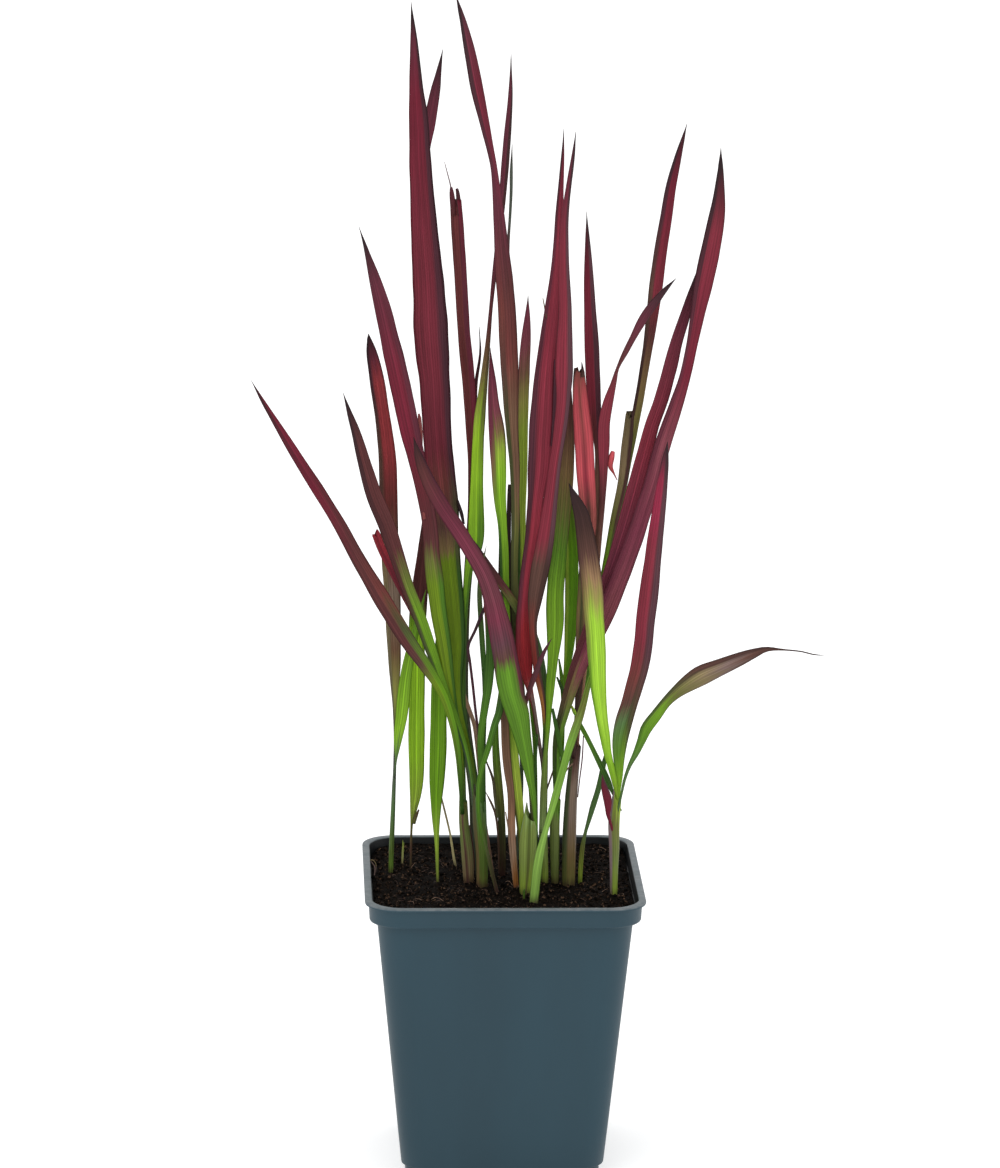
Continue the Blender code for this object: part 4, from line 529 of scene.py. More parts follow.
LOOKS = {
    "sheath_far_left": Look("90 soft green, 102 sheath olive, 116 grey green, 131 stem grey"),
    "sheath_left_olive": Look(
        "90 olive brown, 97 grey olive, 108 sheath green, 119 olive",
        (0.3, 0.5, "90 brown, 119 brown"), rib=0),
    "sheath_left_green": Look(
        "90 olive, 98 sheath olive, 110 sheath olive, 119 grey green",
        (0, 0.3, "90 olive brown, 119 dark olive"), rib=0),
    "sheath_centre": Look(
        "90 yellow green, 98 sheath light, 108 sheath light, 116 pale green",
        (0.42, 0.6, "90 olive, 116 sheath olive"), rib=0),
    "sheath_centre_right": Look("90 yellow green, 98 sheath light, 113 pale green", rib=0),
    "sheath_right_green": Look(
        "90 olive, 98 sheath green, 112 sheath green, 116 mid green, 120 fresh green"),
    "sheath_right_brown": Look(
        "90 olive, 100 olive brown, 112 mauve tan, 124 mauve tan, 132 brown, 138 dark brown",
        (0, 0.36, "90 olive, 104 grey moss, 122 grey moss, 138 dark olive"), rib=0),
    "sheath_right_shoot": Look(
        "86 yellow green, 100 sheath green, 112 olive, 120 yellow green",
        (0, 0.3, "86 olive, 98 purple grey, 120 purple grey")),
    "leaf_far_left": Look(
        "120 dark green, 140 mid green, 160 moss green, 178 dark olive, 190 russet, 205 brown red, "
        "232 wine, 250 wine, 257 near black",
        (0, 0.52,
         "120 dark green, 162 olive green, 168 brown, 175 brown red, 200 brown red, 222 wine, "
         "257 near black")),
    "leaf_left_crossed": Look(
        "120 grey green, 140 mid green, 184 fresh green, 196 olive, 204 brown red, 236 brown red, "
        "250 near black",
        (0, 0.3, "120 stem grey, 150 dark green, 180 dark olive, 192 brown red, 250 near black")),
    "leaf_left_upright": Look(
        "131 stem grey, 150 dark olive, 160 tan olive, 174 soft brown, 190 mauve tan, 204 warm brown, "
        "218 russet, 236 rose brick, 258 rose brick, 265 plum, 271 near black",
        (0, 0.26, "131 stem grey, 196 grey olive, 214 brown, 240 brown, 258 dark plum, 270 near black")),
    "leaf_left_side_branch": Look(
        "131 stem grey, 138 grey green, 147 bright green, 170 fresh green, 189 mid green", rib=0.3),
    "leaf_left_broad_green": Look(
        "91 dark olive, 104 brown, 112 olive, 118 yellow green, 134 vivid green, 172 vivid green, "
        "179 fresh green, 184 brown red, 202 brown red, 231 near black", rib=0.3, ragged=4),
    "leaf_left_short_green": Look(
        "91 olive, 103 yellow green, 118 moss green, 150 moss green, 176 mid green, 200 olive", rib=0.3),
    "leaf_tall_left": Look(
        "120 grey green, 140 olive green, 196 olive green, 203 olive green, 206 olive brown, 213 brown, "
        "226 russet, 238 deep crimson, 300 deep crimson, 350 wine, 366 plum, 373 near black",
        (0.76, 1,
         "120 dark green, 199 dark green, 206 dark olive, 214 dark olive, 232 dark plum, 340 dark plum, "
         "372 near black"), rib=0.12, ragged=4),
    "leaf_tall_left_behind": Look(
        "90 stem grey, 150 dark olive, 200 brown red, 240 plum, 345 plum, 361 near black", rib=0.15),
    "leaf_left_tilted": Look(
        "120 grey green, 140 olive green, 194 olive green, 202 olive, 208 brown red, 240 wine, 258 wine, "
        "288 plum, 302 near black",
        (0.7, 1, "120 dark green, 195 deep green, 206 brown red, 240 plum, 290 plum, 304 near black"),
        rib=0.12, ragged=3),
    "leaf_stub_red": Look(
        "93 stem grey, 150 dark olive, 180 brown red, 194 crimson, 202 scarlet, 208 scarlet"),
    "leaf_sliver": Look("226 dusty rose, 247 dusty rose", rib=0),
    "leaf_long_centre": Look(
        "93 stem grey, 130 grey green, 170 mid green, 203 bright green, 238 vivid green, 248 yellow green, "
        "262 olive brown, 274 brown red, 300 plum, 350 plum, 361 near black",
        (0.6, 1,
         "93 stem grey, 170 deep green, 212 mid green, 226 bright green, 248 olive, 274 brown red, "
         "361 near black"), ragged=7),
    "leaf_broken_brown": Look(
        "95 stem grey, 150 dark green, 200 dark olive, 214 brown red, 240 deep red, 300 deep red, "
        "320 deep red",
        (0.55, 1, "95 stem grey, 200 dark olive, 240 wine, 280 plum, 320 wine")),
    "leaf_twisted": Look(
        "113 dark olive, 160 olive, 185 dark olive, 212 olive, 226 warm brown, 250 warm brown, 268 russet, "
        "290 brown red, 312 plum, 350 wine, 370 plum, 380 near black",
        (0, 0.4, "113 dark olive, 244 dark olive, 262 brown, 285 russet, 312 plum, 380 near black"),
        rib=0.15, ragged=6),
    "leaf_pink_tip": Look(
        "90 dark green, 104 mid green, 113 pale lime, 130 pale lime, 146 fresh green, 200 fresh green, "
        "228 bright green, 235 yellow green, 241 olive brown, 247 mauve red, 256 red plum, 263 plum, "
        "268 near black",
        (0, 0.3,
         "90 olive, 142 olive, 156 dark green, 208 dark green, 218 fresh green, 230 olive brown, "
         "240 red plum, 268 plum"), rib=0.2),
    "leaf_brown_tip": Look(
        "93 dark green, 150 mid green, 210 yellow green, 240 yellow green, 251 tan olive, 260 warm brown, "
        "269 mauve red, 280 red plum, 285 near black", rib=0.15),
    "leaf_plum_crossing": Look(
        "113 mid green, 150 mid green, 166 mid green, 169.5 brown, 174 grey plum, 182 red plum, "
        "190 dark mauve, 205 red plum, 216 plum, 228 brown red, 239 near black",
        (0.8, 1,
         "113 mid green, 152 mid green, 157 brown, 163 plum, 190 dark mauve, 216 plum, 239 near black"),
        rib=0.25, ragged=3),
    "leaf_green_crossing": Look(
        "93 dark green, 140 stem grey, 152 grey green, 178 grey green, 186 olive, 191 brown red, "
        "206 near black", rib=0.15),
    "leaf_purple_left": Look(
        "120 dark green, 150 deep green, 176 dark green, 186 wine, 199 wine", rib=0.15),
    "leaf_narrow_strand": Look(
        "88 dark brown, 100 dark olive, 112 deep green, 135 deep green, 150 dark green, 158 dark olive",
        rib=0.2),
    "leaf_dark_narrow": Look("120 dark green, 170 dark green, 203 dark olive"),
    "thread_kinked_dark": Look("120 dark olive, 150 dark plum, 188 near black", rib=0),
    "blade_dry_pink": Look("90 dry brown, 140 dry pale, 167 tan pink", rib=0),
    "leaf_tall_centre": Look(
        "114 dark olive, 130 mauve brown, 157 mauve brown, 164 blood red, 180 blood red, 190 rose, "
        "214 rose, 228 crimson, 300 crimson, 325 wine, 337 near black",
        (0, 0.3,
         "114 dark olive, 150 brown, 168 blood red, 190 plum, 214 dark plum, 300 plum, 337 near black"),
        rib=0.18),
    "leaf_tall_centre_right": Look(
        "114 dark green, 140 deep green, 149 deep green, 152 rust, 159 rust, 165 brick, 176 brick, "
        "190 brown, 200 brown, 209 crimson, 300 crimson, 325 plum, 336 near black",
        (0.68, 1,
         "114 dark green, 150 brown, 200 dark brown, 215 grey plum, 300 grey plum, 336 near black"),
        rib=0.15, ragged=3),
    "leaf_centre_green": Look(
        "114 pale green, 128 sheath green, 150 fresh green, 190 fresh green, 204 mid green, 216 olive, "
        "228 olive brown, 245 brown, 262 near black", rib=0.2),
    "leaf_narrow_green": Look(
        "120 mid green, 150 grass green, 205 grass green, 229 olive",
        (0, 0.3, "120 fresh green, 205 yellow green, 229 olive")),
    "blade_small_dark": Look("113 brown red, 150 brown red, 172 dark plum"),
    "leaf_brown_sheath": Look(
        "88 rust, 95 rust, 102 dry pale, 112 tan pink, 119 soft brown, 150 soft brown, 165 dark olive",
        rib=0),
    "leaf_olive_sheath": Look("93 dark brown, 112 dark olive, 122 olive, 140 mid green, 158 mid green"),
    "leaf_front_green": Look(
        "85 light green, 108 light green, 122 soft green, 138 soft green, 150 olive, 166 mid green",
        rib=0.35),
    "leaf_coral_folded": Look(
        "138 dark brown, 165 brown, 186 olive brown, 198 dark olive, 209 coral brown, 218 coral brown, "
        "229 coral, 252 coral, 259 coral brown, 262 dark brown",
        (0.36, 0.62, "138 dark brown, 200 dark olive, 216 brown, 227 rose, 260 coral brown"), rib=0),
    "leaf_slim_right": Look(
        "93 stem grey, 150 dark olive, 200 brown, 226 pink brown, 238 brown red, 250 crimson, 290 wine, "
        "310 near black",
        (0.6, 1, "93 stem grey, 226 brown, 240 dark plum, 296 grey plum, 310 near black"), rib=0.12),
    "leaf_slender_crossing": Look(
        "138 pink brown, 170 tan pink, 205 pink brown, 222 brown red, 236 crimson, 254 crimson, "
        "264 brown red, 276 plum, 289 near black", rib=0.12),
    "leaf_stub_olive": Look(
        "138 deep green, 175 mid green, 203 fresh green, 213 olive, 230 grey olive, 247 bronze",
        (0.62, 1, "138 dark green, 200 mid green, 214 brown, 247 dark brown")),
    "leaf_right_olive": Look(
        "93 dark green, 150 deep green, 206 grey green, 236 olive, 256 olive brown, 272 brown red, "
        "288 crimson, 320 wine, 339 near black",
        (0, 0.34, "93 dark green, 205 brown, 260 dark brown, 288 brown, 312 dark plum, 339 near black")),
    "leaf_right_pair_front": Look(
        "120 mid green, 146 mid green, 157 olive, 166 mauve red, 188 mauve red, 212 red plum, "
        "240 mauve red, 262 wine, 306 crimson, 326 near black",
        (0, 0.3,
         "120 deep green, 152 dark olive, 163 olive brown, 172 red plum, 236 plum, 262 plum, "
         "326 near black"), rib=0.12),
    "leaf_right_pair_behind": Look(
        "120 deep green, 150 dark olive, 164 brown red, 200 red plum, 240 crimson, 278 plum, "
        "293 near black", rib=0.15),
    "leaf_bright_green": Look(
        "120 yellow green, 134 bright green, 150 lime, 180 lime, 188 tan olive, 195 light brown, "
        "202 brown, 210 dark brown, 223 near black",
        (0, 0.22,
         "120 bright green, 166 fresh green, 182 tan olive, 191 olive brown, 200 brown, 212 dark brown, "
         "223 near black"), rib=0.12, ragged=6),
    "leaf_right_upright": Look(
        "120 yellow green, 130 bright green, 138 mid green, 149 grey green, 155 brown, 163 russet, "
        "176 crimson, 204 crimson, 214 magenta, 226 magenta, 231 plum, 237 near black",
        (0.6, 1,
         "120 bright green, 138 fresh green, 149 dark olive, 160 brown, 172 grey plum, 222 grey plum, "
         "237 near black"), rib=0.15),
    "leaf_right_arching": Look(
        "120 grey green, 134 grey green, 143 mid green, 152 fresh green, 156 olive, 162 grey olive, "
        "165.5 mauve brown, 168.6 brown, 169.4 near black",
        (0, 0.3, "120 grey green, 143 deep green, 156 dark olive, 162 brown, 169.4 near black"), rib=0.2),
    "leaf_right_small_red": Look("113 wine, 122 wine, 127 dark plum"),
    "leaf_right_thin_dark": Look("120 grey green, 130 dark green, 149 mid green", rib=0.15),
    "leaf_thin_petiole": Look("90 yellow green, 103 olive, 110 grey green, 138 dark green", rib=0.15),
    "leaf_thread_tip_centre": Look(
        "90 stem grey, 200 dark green, 255 plum, 296 plum, 306 stem grey, 326 stem grey, 333 near black"),
    "leaf_thread_tip_left": Look("90 stem grey, 200 dark green, 240 plum, 275 near black"),
    "stalk_straw": Look("95 straw, 107 straw, 117 grey olive, 123 grey olive", rib=0),
    "stub_yellow": Look("95 straw, 105 yellow green", rib=0),
    "sliver_dry": Look("93 dark brown, 110 dry brown, 122 dry brown", rib=0),
    "stub_front": Look("85 mid green, 89 dark green", rib=0),
}

# Threads and scraps too thin for a solid: (x, z, width) from foot to tip, a depth at each end and a colour.
Thread = namedtuple("Thread", "name depths colours points")
THREADS = (
    Thread("thread_on_broken_leaf", (26.3, 26.6), ("grey plum", "purple grey"),
           ((-17.9, 318.6, 0.5), (-18.4, 321, 0.4), (-19.2, 324, 0.35), (-20.15, 327.6, 0.2))),
    Thread("thread_beside_tall_leaf", (-7.2, -7.4), ("brown", "grey olive"),
           ((12.6, 277.5, 0.45), (12, 281, 0.4), (11.4, 284, 0.3))),
    Thread("fold_between_tall_leaves", (-4.6, -5.8), ("dark plum", "dark plum"),
           ((14.9, 236, 1.2), (15.5, 244, 1.6), (15.8, 250, 1.7), (15.8, 257, 1.5), (15.6, 264, 0.8))),
    Thread("sliver_beside_pink_tip", (3.2, 4.2), ("dark brown", "near black"),
           ((-1.5, 190, 1.2), (-1.4, 198, 1.2), (-1.3, 207, 1.1), (-1.2, 214.5, 0.9))),
    Thread("stub_dark_centre", (4.6, 4.8), ("dark brown", "near black"),
           ((4.2, 168, 0.8), (3, 173, 1.2), (2.1, 178, 1.4), (1.8, 186, 1.5), (1.5, 195, 1.6),
            (1.2, 204, 1.6), (1.2, 212, 1.5), (1.3, 219, 1.4), (1.4, 223.5, 1.2))),
    Thread("bit_dark_left", (8.8, 8.6), ("near black", "dark brown"),
           ((-15.2, 218.3, 0.6), (-14, 214, 1.2), (-13.2, 210.5, 0.7))),
    Thread("line_beside_left_sheath", (3, 3), ("brown", "brown"),
           ((-9.7, 91, 0.7), (-9.2, 98, 0.7), (-9.7, 104, 0.6), (-10.7, 110.5, 0.5))),
    Thread("strand_dry_dark", (3.2, 1.5), ("dark brown", "dark olive"),
           ((-12.5, 117, 1), (-13.5, 122, 1.2), (-14.8, 135, 1.3), (-17.1, 147, 1))),
    Thread("line_pale_centre", (-7, -6.4), ("dry pale", "dry pale"),
           ((3.7, 92, 0.5), (3.1, 98, 0.5), (2.3, 107, 0.5), (1, 115, 0.4))),
    Thread("strand_dark_edge", (-5.5, -5), ("dark olive", "dark brown"),
           ((-1.6, 113, 0.8), (-2.5, 120, 0.9), (-3.2, 126, 0.9), (-5.4, 132, 0.5))),
    Thread("thread_pinkish", (0.5, 0.5), ("grey plum", "grey plum"),
           ((24.4, 119.9, 0.35), (24.9, 125.4, 0.4), (25.7, 132.9, 0.45), (26, 140.4, 0.4))),
    Thread("line_brown_right", (-4, -4), ("brown", "dry brown"),
           ((18.3, 119, 0.4), (19.1, 124, 0.5), (20.4, 128.5, 0.5), (22.7, 131.2, 0.5))),
    Thread("leaflet_thin_green", (4.5, 4), ("fresh green", "deep green"),
           ((19.4, 148, 0.9), (19.2, 154, 1.4), (18.7, 160, 1.3), (17.8, 166, 0.5))),
    Thread("bit_dark_centre_right", (3, 3), ("dark green", "dark green"),
           ((19.3, 154.5, 1), (18.5, 157, 1.1), (17.2, 160, 0.6))),
    Thread("curl_light_green", (0.4, -0.6), ("lime", "yellow green"),
           ((23.9, 147, 1.1), (23, 148.4, 1.3), (22, 150.4, 0.6))),
    Thread("strand_crossing_green", (-3, -4), ("deep green", "dark green"),
           ((20.2, 130, 1.1), (18.6, 136, 1.4), (17.2, 143, 1.4), (15.9, 149.5, 0.9))),
    Thread("strand_grey_green", (-3, -3.5), ("dark green", "dark green"),
           ((10, 118, 0.6), (10.2, 123.3, 0.7), (10.7, 132.4, 0.7), (11.1, 141, 0.6))),
    Thread("bit_pale_crossing", (1, 2), ("mauve brown", "dry pale"),
           ((14.2, 122, 0.5), (15.6, 126.5, 0.6), (17.2, 131.5, 0.4))),
    Thread("leaflet_bract", (18.6, 18.2), ("olive", "brown"),
           ((-28.7, 111, 1), (-28, 113.6, 1.1), (-27.1, 115.8, 0.5))),
    Thread("scrap_pink", (-1.3, -1.6), ("brick", "coral"),
           ((35.8, 225, 0.3), (34.8, 227, 0.6), (33.6, 229.5, 1.6), (33.9, 232.4, 2), (34.4, 234.4, 1.2))),
    Thread("spike_on_coral", (-6, -6), ("brown", "near black"),
           ((24.4, 258.5, 1.4), (24.3, 261, 0.9), (24, 263.4, 0.2))),
    Thread("prong_left", (25.6, 26.4), ("brown red", "plum"),
           ((-17.2, 310.5, 1.6), (-17.5, 314.8, 1.8), (-17.8, 317.7, 1.5), (-18, 319.6, 0.8))),
    Thread("prong_right", (25.6, 26.4), ("brown red", "dark plum"),
           ((-15.3, 310.5, 1.4), (-15.6, 314.8, 1.5), (-15.9, 317.7, 1.25), (-16.2, 319.2, 0.9))),
    Thread("root_hair_left", (14, 8), ("mauve brown", "grey olive"),
           ((-42.6, 98.4, 0.3), (-41.3, 96.4, 0.4), (-41.5, 93, 0.4), (-41.2, 90.8, 0.35),
            (-40.6, 89.4, 0.3))),
    Thread("root_hair_left_top", (14, 13), ("grey olive", "mauve brown"),
           ((-43, 98.6, 0.25), (-42, 98.9, 0.3), (-41, 97.6, 0.3), (-40.8, 95, 0.25))),
)


def linear(name):
    """A palette colour as linear red, green and blue, toned for the bright light."""
    return tuple(LEAF_TONE * ((c / 255 + 0.055) / 1.055) ** 2.4 for c in PALETTE[name])


def shade(colour, amount):
    """A colour made darker or lighter."""
    return tuple(channel * amount for channel in colour)


class Nodes:
    """A node tree whose nodes are added one after another."""

    def __init__(self, tree):
        self.tree = tree

    def put(self, socket, value):
        if isinstance(value, bpy.types.NodeSocket):
            self.tree.links.new(value, socket)
        else:
            socket.default_value = value

    def add(self, kind, **sockets):
        """Adds a node; a keyword names an input, with _ for a space, and gives a value or what feeds it."""
        node = self.tree.nodes.new(kind)
        for title, value in sockets.items():
            self.put(node.inputs[title.replace("_", " ")], value)
        return node

    def operate(self, kind, operation, *values):
        """Adds a node that works something out of its values in order."""
        node = self.tree.nodes.new(kind)
        node.operation = operation
        for socket, value in zip(node.inputs, values):
            self.put(socket, value)
        return node

    def math(self, operation, *values):
        return self.operate("ShaderNodeMath", operation, *values).outputs[0]

    def times(self, *values):
        """All the values multiplied together."""
        product = values[0]
        for value in values[1:]:
            product = self.math("MULTIPLY", product, value)
        return product

    def scale(self, vector, amount):
        node = self.operate("ShaderNodeVectorMath", "SCALE", vector)
        self.put(node.inputs["Scale"], amount)
        return node.outputs[0]


class Shader(Nodes):
    """A new material."""

    def __init__(self, name):
        self.material = bpy.data.materials.new(name)
        self.material.use_nodes = True
        super().__init__(self.material.node_tree)
        self.shader = self.tree.nodes["Principled BSDF"]

    def step(self, value, low, high):
        """A smooth rise from 0 to 1 between two values."""
        node = self.add("ShaderNodeMapRange", Value=value, From_Min=low, From_Max=high)
        node.interpolation_type = "SMOOTHSTEP"
        return node.outputs["Result"]

    def fall(self, value, low, high):
        """A smooth fall from 1 to 0 between two values."""
        return self.math("SUBTRACT", 1.0, self.step(value, low, high))

    def span(self, value, low, high, to_low, to_high):
        """A value carried from one range to another."""
        node = self.add("ShaderNodeMapRange", Value=value, From_Min=low, From_Max=high,
                        To_Min=to_low, To_Max=to_high)
        return node.outputs["Result"]

    def vary(self, unevenness, low, high):
        """Noise, most of which lies between 0.3 and 0.7, carried to another range."""
        return self.span(unevenness, 0.3, 0.7, low, high)

    def vector(self, x, y, z=0.0):
        return self.add("ShaderNodeCombineXYZ", X=x, Y=y, Z=z).outputs[0]

    def noise(self, vector, scale, detail=2.0, roughness=0.5):
        node = self.add("ShaderNodeTexNoise", Vector=vector, Scale=scale, Detail=detail, Roughness=roughness)
        return node.outputs["Fac"]

    def cells(self, vector, scale):
        return self.add("ShaderNodeTexVoronoi", Vector=vector, Scale=scale).outputs["Distance"]

    def ramp(self, value, stops):
        """Colours at rising places from 0 to 1."""
        node = self.add("ShaderNodeValToRGB", Fac=value)
        elements = node.color_ramp.elements
        while len(elements) < len(stops):
            elements.new(0.5)
        for element, (place, colour) in zip(elements, stops):
            element.position = place
            element.color = (*colour, 1.0)
        return node.outputs["Color"]

    def mix(self, share, first, second):
        node = self.tree.nodes.new("ShaderNodeMix")
        node.data_type = "RGBA"
        self.put(node.inputs[0], share)
        for socket, value in zip(node.inputs[6:8], (first, second)):
            self.put(socket, (*value, 1.0) if isinstance(value, tuple) else value)
        return node.outputs[2]

    def place(self):
        """Where a point is on the object, in millimetres."""
        return self.scale(self.add("ShaderNodeTexCoord").outputs["Object"], 1 / MM)

    def split(self, vector):
        return self.add("ShaderNodeSeparateXYZ", Vector=vector).outputs

    def across_and_along(self):
        node = self.add("ShaderNodeUVMap")
        node.uv_map = UV_NAME
        return self.split(node.outputs["UV"])[:2]

    def bump(self, height, strength, depth):
        node = self.add("ShaderNodeBump", Strength=strength, Distance=depth * MM, Height=height)
        self.put(self.shader.inputs["Normal"], node.outputs["Normal"])

    def finish(self, colour, roughness, specular):
        self.put(self.shader.inputs["Base Color"], colour)
        self.put(self.shader.inputs["Roughness"], roughness)
        self.shader.inputs["Specular IOR Level"].default_value = specular
        return self.material


def add_piece(name, vertices, faces, uv=None, smooth=True):
    """A mesh object from points in millimetres."""
    mesh = bpy.data.meshes.new(name)
    mesh.from_pydata((np.asarray(vertices, float) * MM).tolist(), [], faces)
    if uv is not None:
        corners = np.zeros(len(mesh.loops), np.int32)
        mesh.loops.foreach_get("vertex_index", corners)
        layer = mesh.uv_layers.new(name=UV_NAME)
        layer.data.foreach_set("uv", np.asarray(uv, np.float32)[corners].ravel())
    if smooth:
        mesh.shade_smooth()
    mesh.validate()
    obj = bpy.data.objects.new(name, mesh)
    bpy.context.scene.collection.objects.link(obj)
    return obj


def carry(piece, material, node=None):
    """Gives a finished piece its material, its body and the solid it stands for."""
    piece.data.materials.clear()
    piece.data.materials.append(material)
    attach(piece, BODY)
    if node:
        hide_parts(node)


def tube_faces(rings, sides, open_end=False):
    """Quads between rings of equally many points, and a cap at the foot and, if asked, at the end."""
    faces = []
    for ring in range(rings - 1):
        low = ring * sides
        for i in range(sides):
            after = (i + 1) % sides
            faces.append((low + i, low + after, low + sides + after, low + sides + i))
    faces.append(tuple(range(sides))[::-1])
    if open_end:
        faces.append(tuple(range((rings - 1) * sides, rings * sides)))
    return faces


def smooth_step(near, t):
    """The value at t between the middle two of four neighbours, on a smooth curve through them all."""
    p0, p1, p2, p3 = near
    bent = 2 * p1 + (p2 - p0) * t + (2 * p0 - 5 * p1 + 4 * p2 - p3) * t ** 2
    return (bent + (3 * p1 - p0 - 3 * p2 + p3) * t ** 3) * 0.5


def smooth_through(points, count):
    """Evenly spaced stations on a smooth curve through given points."""
    points = [Vector(point) for point in points]
    places = [0.0]
    for before, after in zip(points, points[1:]):
        places.append(places[-1] + math.dist(before[:2], after[:2]))
    ends = [points[0] * 2 - points[1]] + points + [points[-1] * 2 - points[-2]]
    stations = []
    segment = 0
    for i in range(count):
        place = places[-1] * i / (count - 1)
        while segment < len(points) - 2 and place > places[segment + 1]:
            segment += 1
        t = (place - places[segment]) / (places[segment + 1] - places[segment])
        stations.append(smooth_step(ends[segment:segment + 4], t))
    return stations


def depth_at(depths, s):
    """A smooth change of depth through evenly spaced depths from foot to tip."""
    spans = len(depths) - 1
    span = min(int(s * spans), spans - 1)
    t = s * spans - span
    ends = (2 * depths[0] - depths[1], *depths, 2 * depths[-1] - depths[-2])
    return smooth_step(ends[span:span + 4], t)


def slide(x, z, depth):
    """The point at a depth on the sight line from the eye through (x, z) of the middle plane."""
    seen = Vector((x, 0.0, z))
    return EYE + (seen - EYE) * ((depth - EYE.y) / -EYE.y)


def length_of(points):
    """The length of the line through (x, z, width) points."""
    return sum(math.dist(a[:2], b[:2]) for a, b in zip(points, points[1:]))


def centre_line(points, depths, spacing):
    """Stations (x, z, width) and their middle points in space."""
    count = max(8, round(length_of(points) / spacing))
    stations = smooth_through(points, count)
    last = count - 1
    line = [slide(x, z, depth_at(depths, i / last)) for i, (x, z, width) in enumerate(stations)]
    return stations, line


def frames_along(line):
    """At each point the directions along the line, across it and away from the eye."""
    frames = []
    for i, point in enumerate(line):
        along = (line[min(i + 1, len(line) - 1)] - line[max(i - 1, 0)]).normalized()
        across = (point - EYE).normalized().cross(along).normalized()
        frames.append((along, across, along.cross(across)))
    return frames


def rounded_square(half, corner, z, corner_steps, side_steps=1):
    """One ring of points round a square with round corners."""
    middle = half - corner
    corners = ((middle, middle), (-middle, middle), (-middle, -middle), (middle, -middle))
    ring = []
    for quarter, (cx, cy) in enumerate(corners):
        for step in range(corner_steps + 1):
            angle = (quarter + step / corner_steps) * math.pi / 2
            ring.append((cx + corner * math.cos(angle), cy + corner * math.sin(angle), z))
        x, y = ring[-1][:2]
        after_x, after_y = corners[(quarter + 1) % 4]
        for step in range(1, side_steps):
            share = step / side_steps
            ring.append((x + (after_x - cx) * share, y + (after_y - cy) * share, z))
    return ring


def body_half(z):
    """The outer half width of the pot's tapered body at a height."""
    body_top = POT_HEIGHT - BAND_HEIGHT - LIP_THICK
    return BODY_FOOT_HALF + (BODY_TOP_HALF - BODY_FOOT_HALF) * (z - FOOT_HEIGHT) / (body_top - FOOT_HEIGHT)


def pot_profile(soft):
    """(half width, height) up the outside with softened edges, over the lip and down the inside."""
    band_foot = POT_HEIGHT - LIP_THICK - BAND_HEIGHT
    lip_foot = POT_HEIGHT - LIP_THICK
    foot = BODY_FOOT_HALF - FOOT_INSET
    ledge = band_foot + WALL
    outside = [(foot - soft, 0.0), (foot - soft * 0.3, soft * 0.3), (foot, soft), (foot, FOOT_HEIGHT - 0.15),
               (foot + 0.15, FOOT_HEIGHT), (BODY_FOOT_HALF - soft, FOOT_HEIGHT),
               (BODY_FOOT_HALF - soft * 0.3, FOOT_HEIGHT + soft * 0.3), (BODY_FOOT_HALF, FOOT_HEIGHT + soft)]
    outside += [(body_half(z), z) for z in (*BODY_RINGS, band_foot - 1.0)]
    outside += [(body_half(band_foot) + 0.08, band_foot - 0.3), (body_half(band_foot) + 0.4, band_foot)]
    band = BAND_HALF - BAND_DRAFT
    outside += [(band - soft * 2, band_foot), (band - soft * 0.6, band_foot + soft * 0.5),
                (band, band_foot + soft * 1.6), (BAND_HALF - 0.05, lip_foot - 0.5),
                (BAND_HALF + 0.25, lip_foot - 0.08), (BAND_HALF + 0.6, lip_foot),
                (LIP_HALF - soft, lip_foot), (LIP_HALF - soft * 0.3, lip_foot + soft * 0.25),
                (LIP_HALF, lip_foot + LIP_THICK / 2), (LIP_HALF - soft * 0.3, POT_HEIGHT - soft * 0.25),
                (LIP_HALF - soft, POT_HEIGHT)]
    inner = BAND_HALF - WALL
    inside = [(inner + soft, POT_HEIGHT), (inner + soft * 0.3, POT_HEIGHT - soft * 0.3),
              (inner, POT_HEIGHT - soft), (inner - BAND_DRAFT, ledge + LEDGE_SLOPE),
              (body_half(band_foot) - WALL, ledge)]
    inside += [(body_half(z) - WALL, z) for z in INNER_RINGS]
    inside += [(foot - WALL, FLOOR_THICK)]
    return outside + inside


def pot_material(colour):
    """Satin moulded plastic with a fine grain, faint flow marks, a painted highlight on the lip and an
    inside painted near black as shade, with dust.
    """
    made = Shader("pot_plastic")
    within, along = made.across_and_along()
    place = made.place()
    x, y, z = made.split(place)
    flow = made.noise(made.vector(x, y, made.times(z, 0.25)), 0.035, 3.0)
    body = made.mix(made.step(flow, 0.3, 0.75), shade(colour, 0.93), shade(colour, 1.1))
    lip = made.step(z, POT_HEIGHT - 0.7, POT_HEIGHT - 0.1)
    # The lip's top is painted an uneven lighter grey as a highlight.
    body = made.mix(made.times(lip, made.vary(made.noise(place, 0.5, 4.0), 0.3, 0.6)), body, LIP_HIGHLIGHT)
    # The pot's inside is painted near black as shade.
    body = made.mix(made.times(within, 0.93), body, POT_INSIDE_SHADE)
    dust = made.step(made.noise(place, 0.9, 5.0, 0.7), 0.66, 0.74)
    body = made.mix(made.times(dust, made.span(within, 0.0, 1.0, 0.03, 0.5)), body, DRY_DUST)
    made.bump(made.noise(place, 1.6, 3.0), 0.25, 0.06)
    return made.finish(body, made.vary(flow, 0.4, 0.52), 0.24)


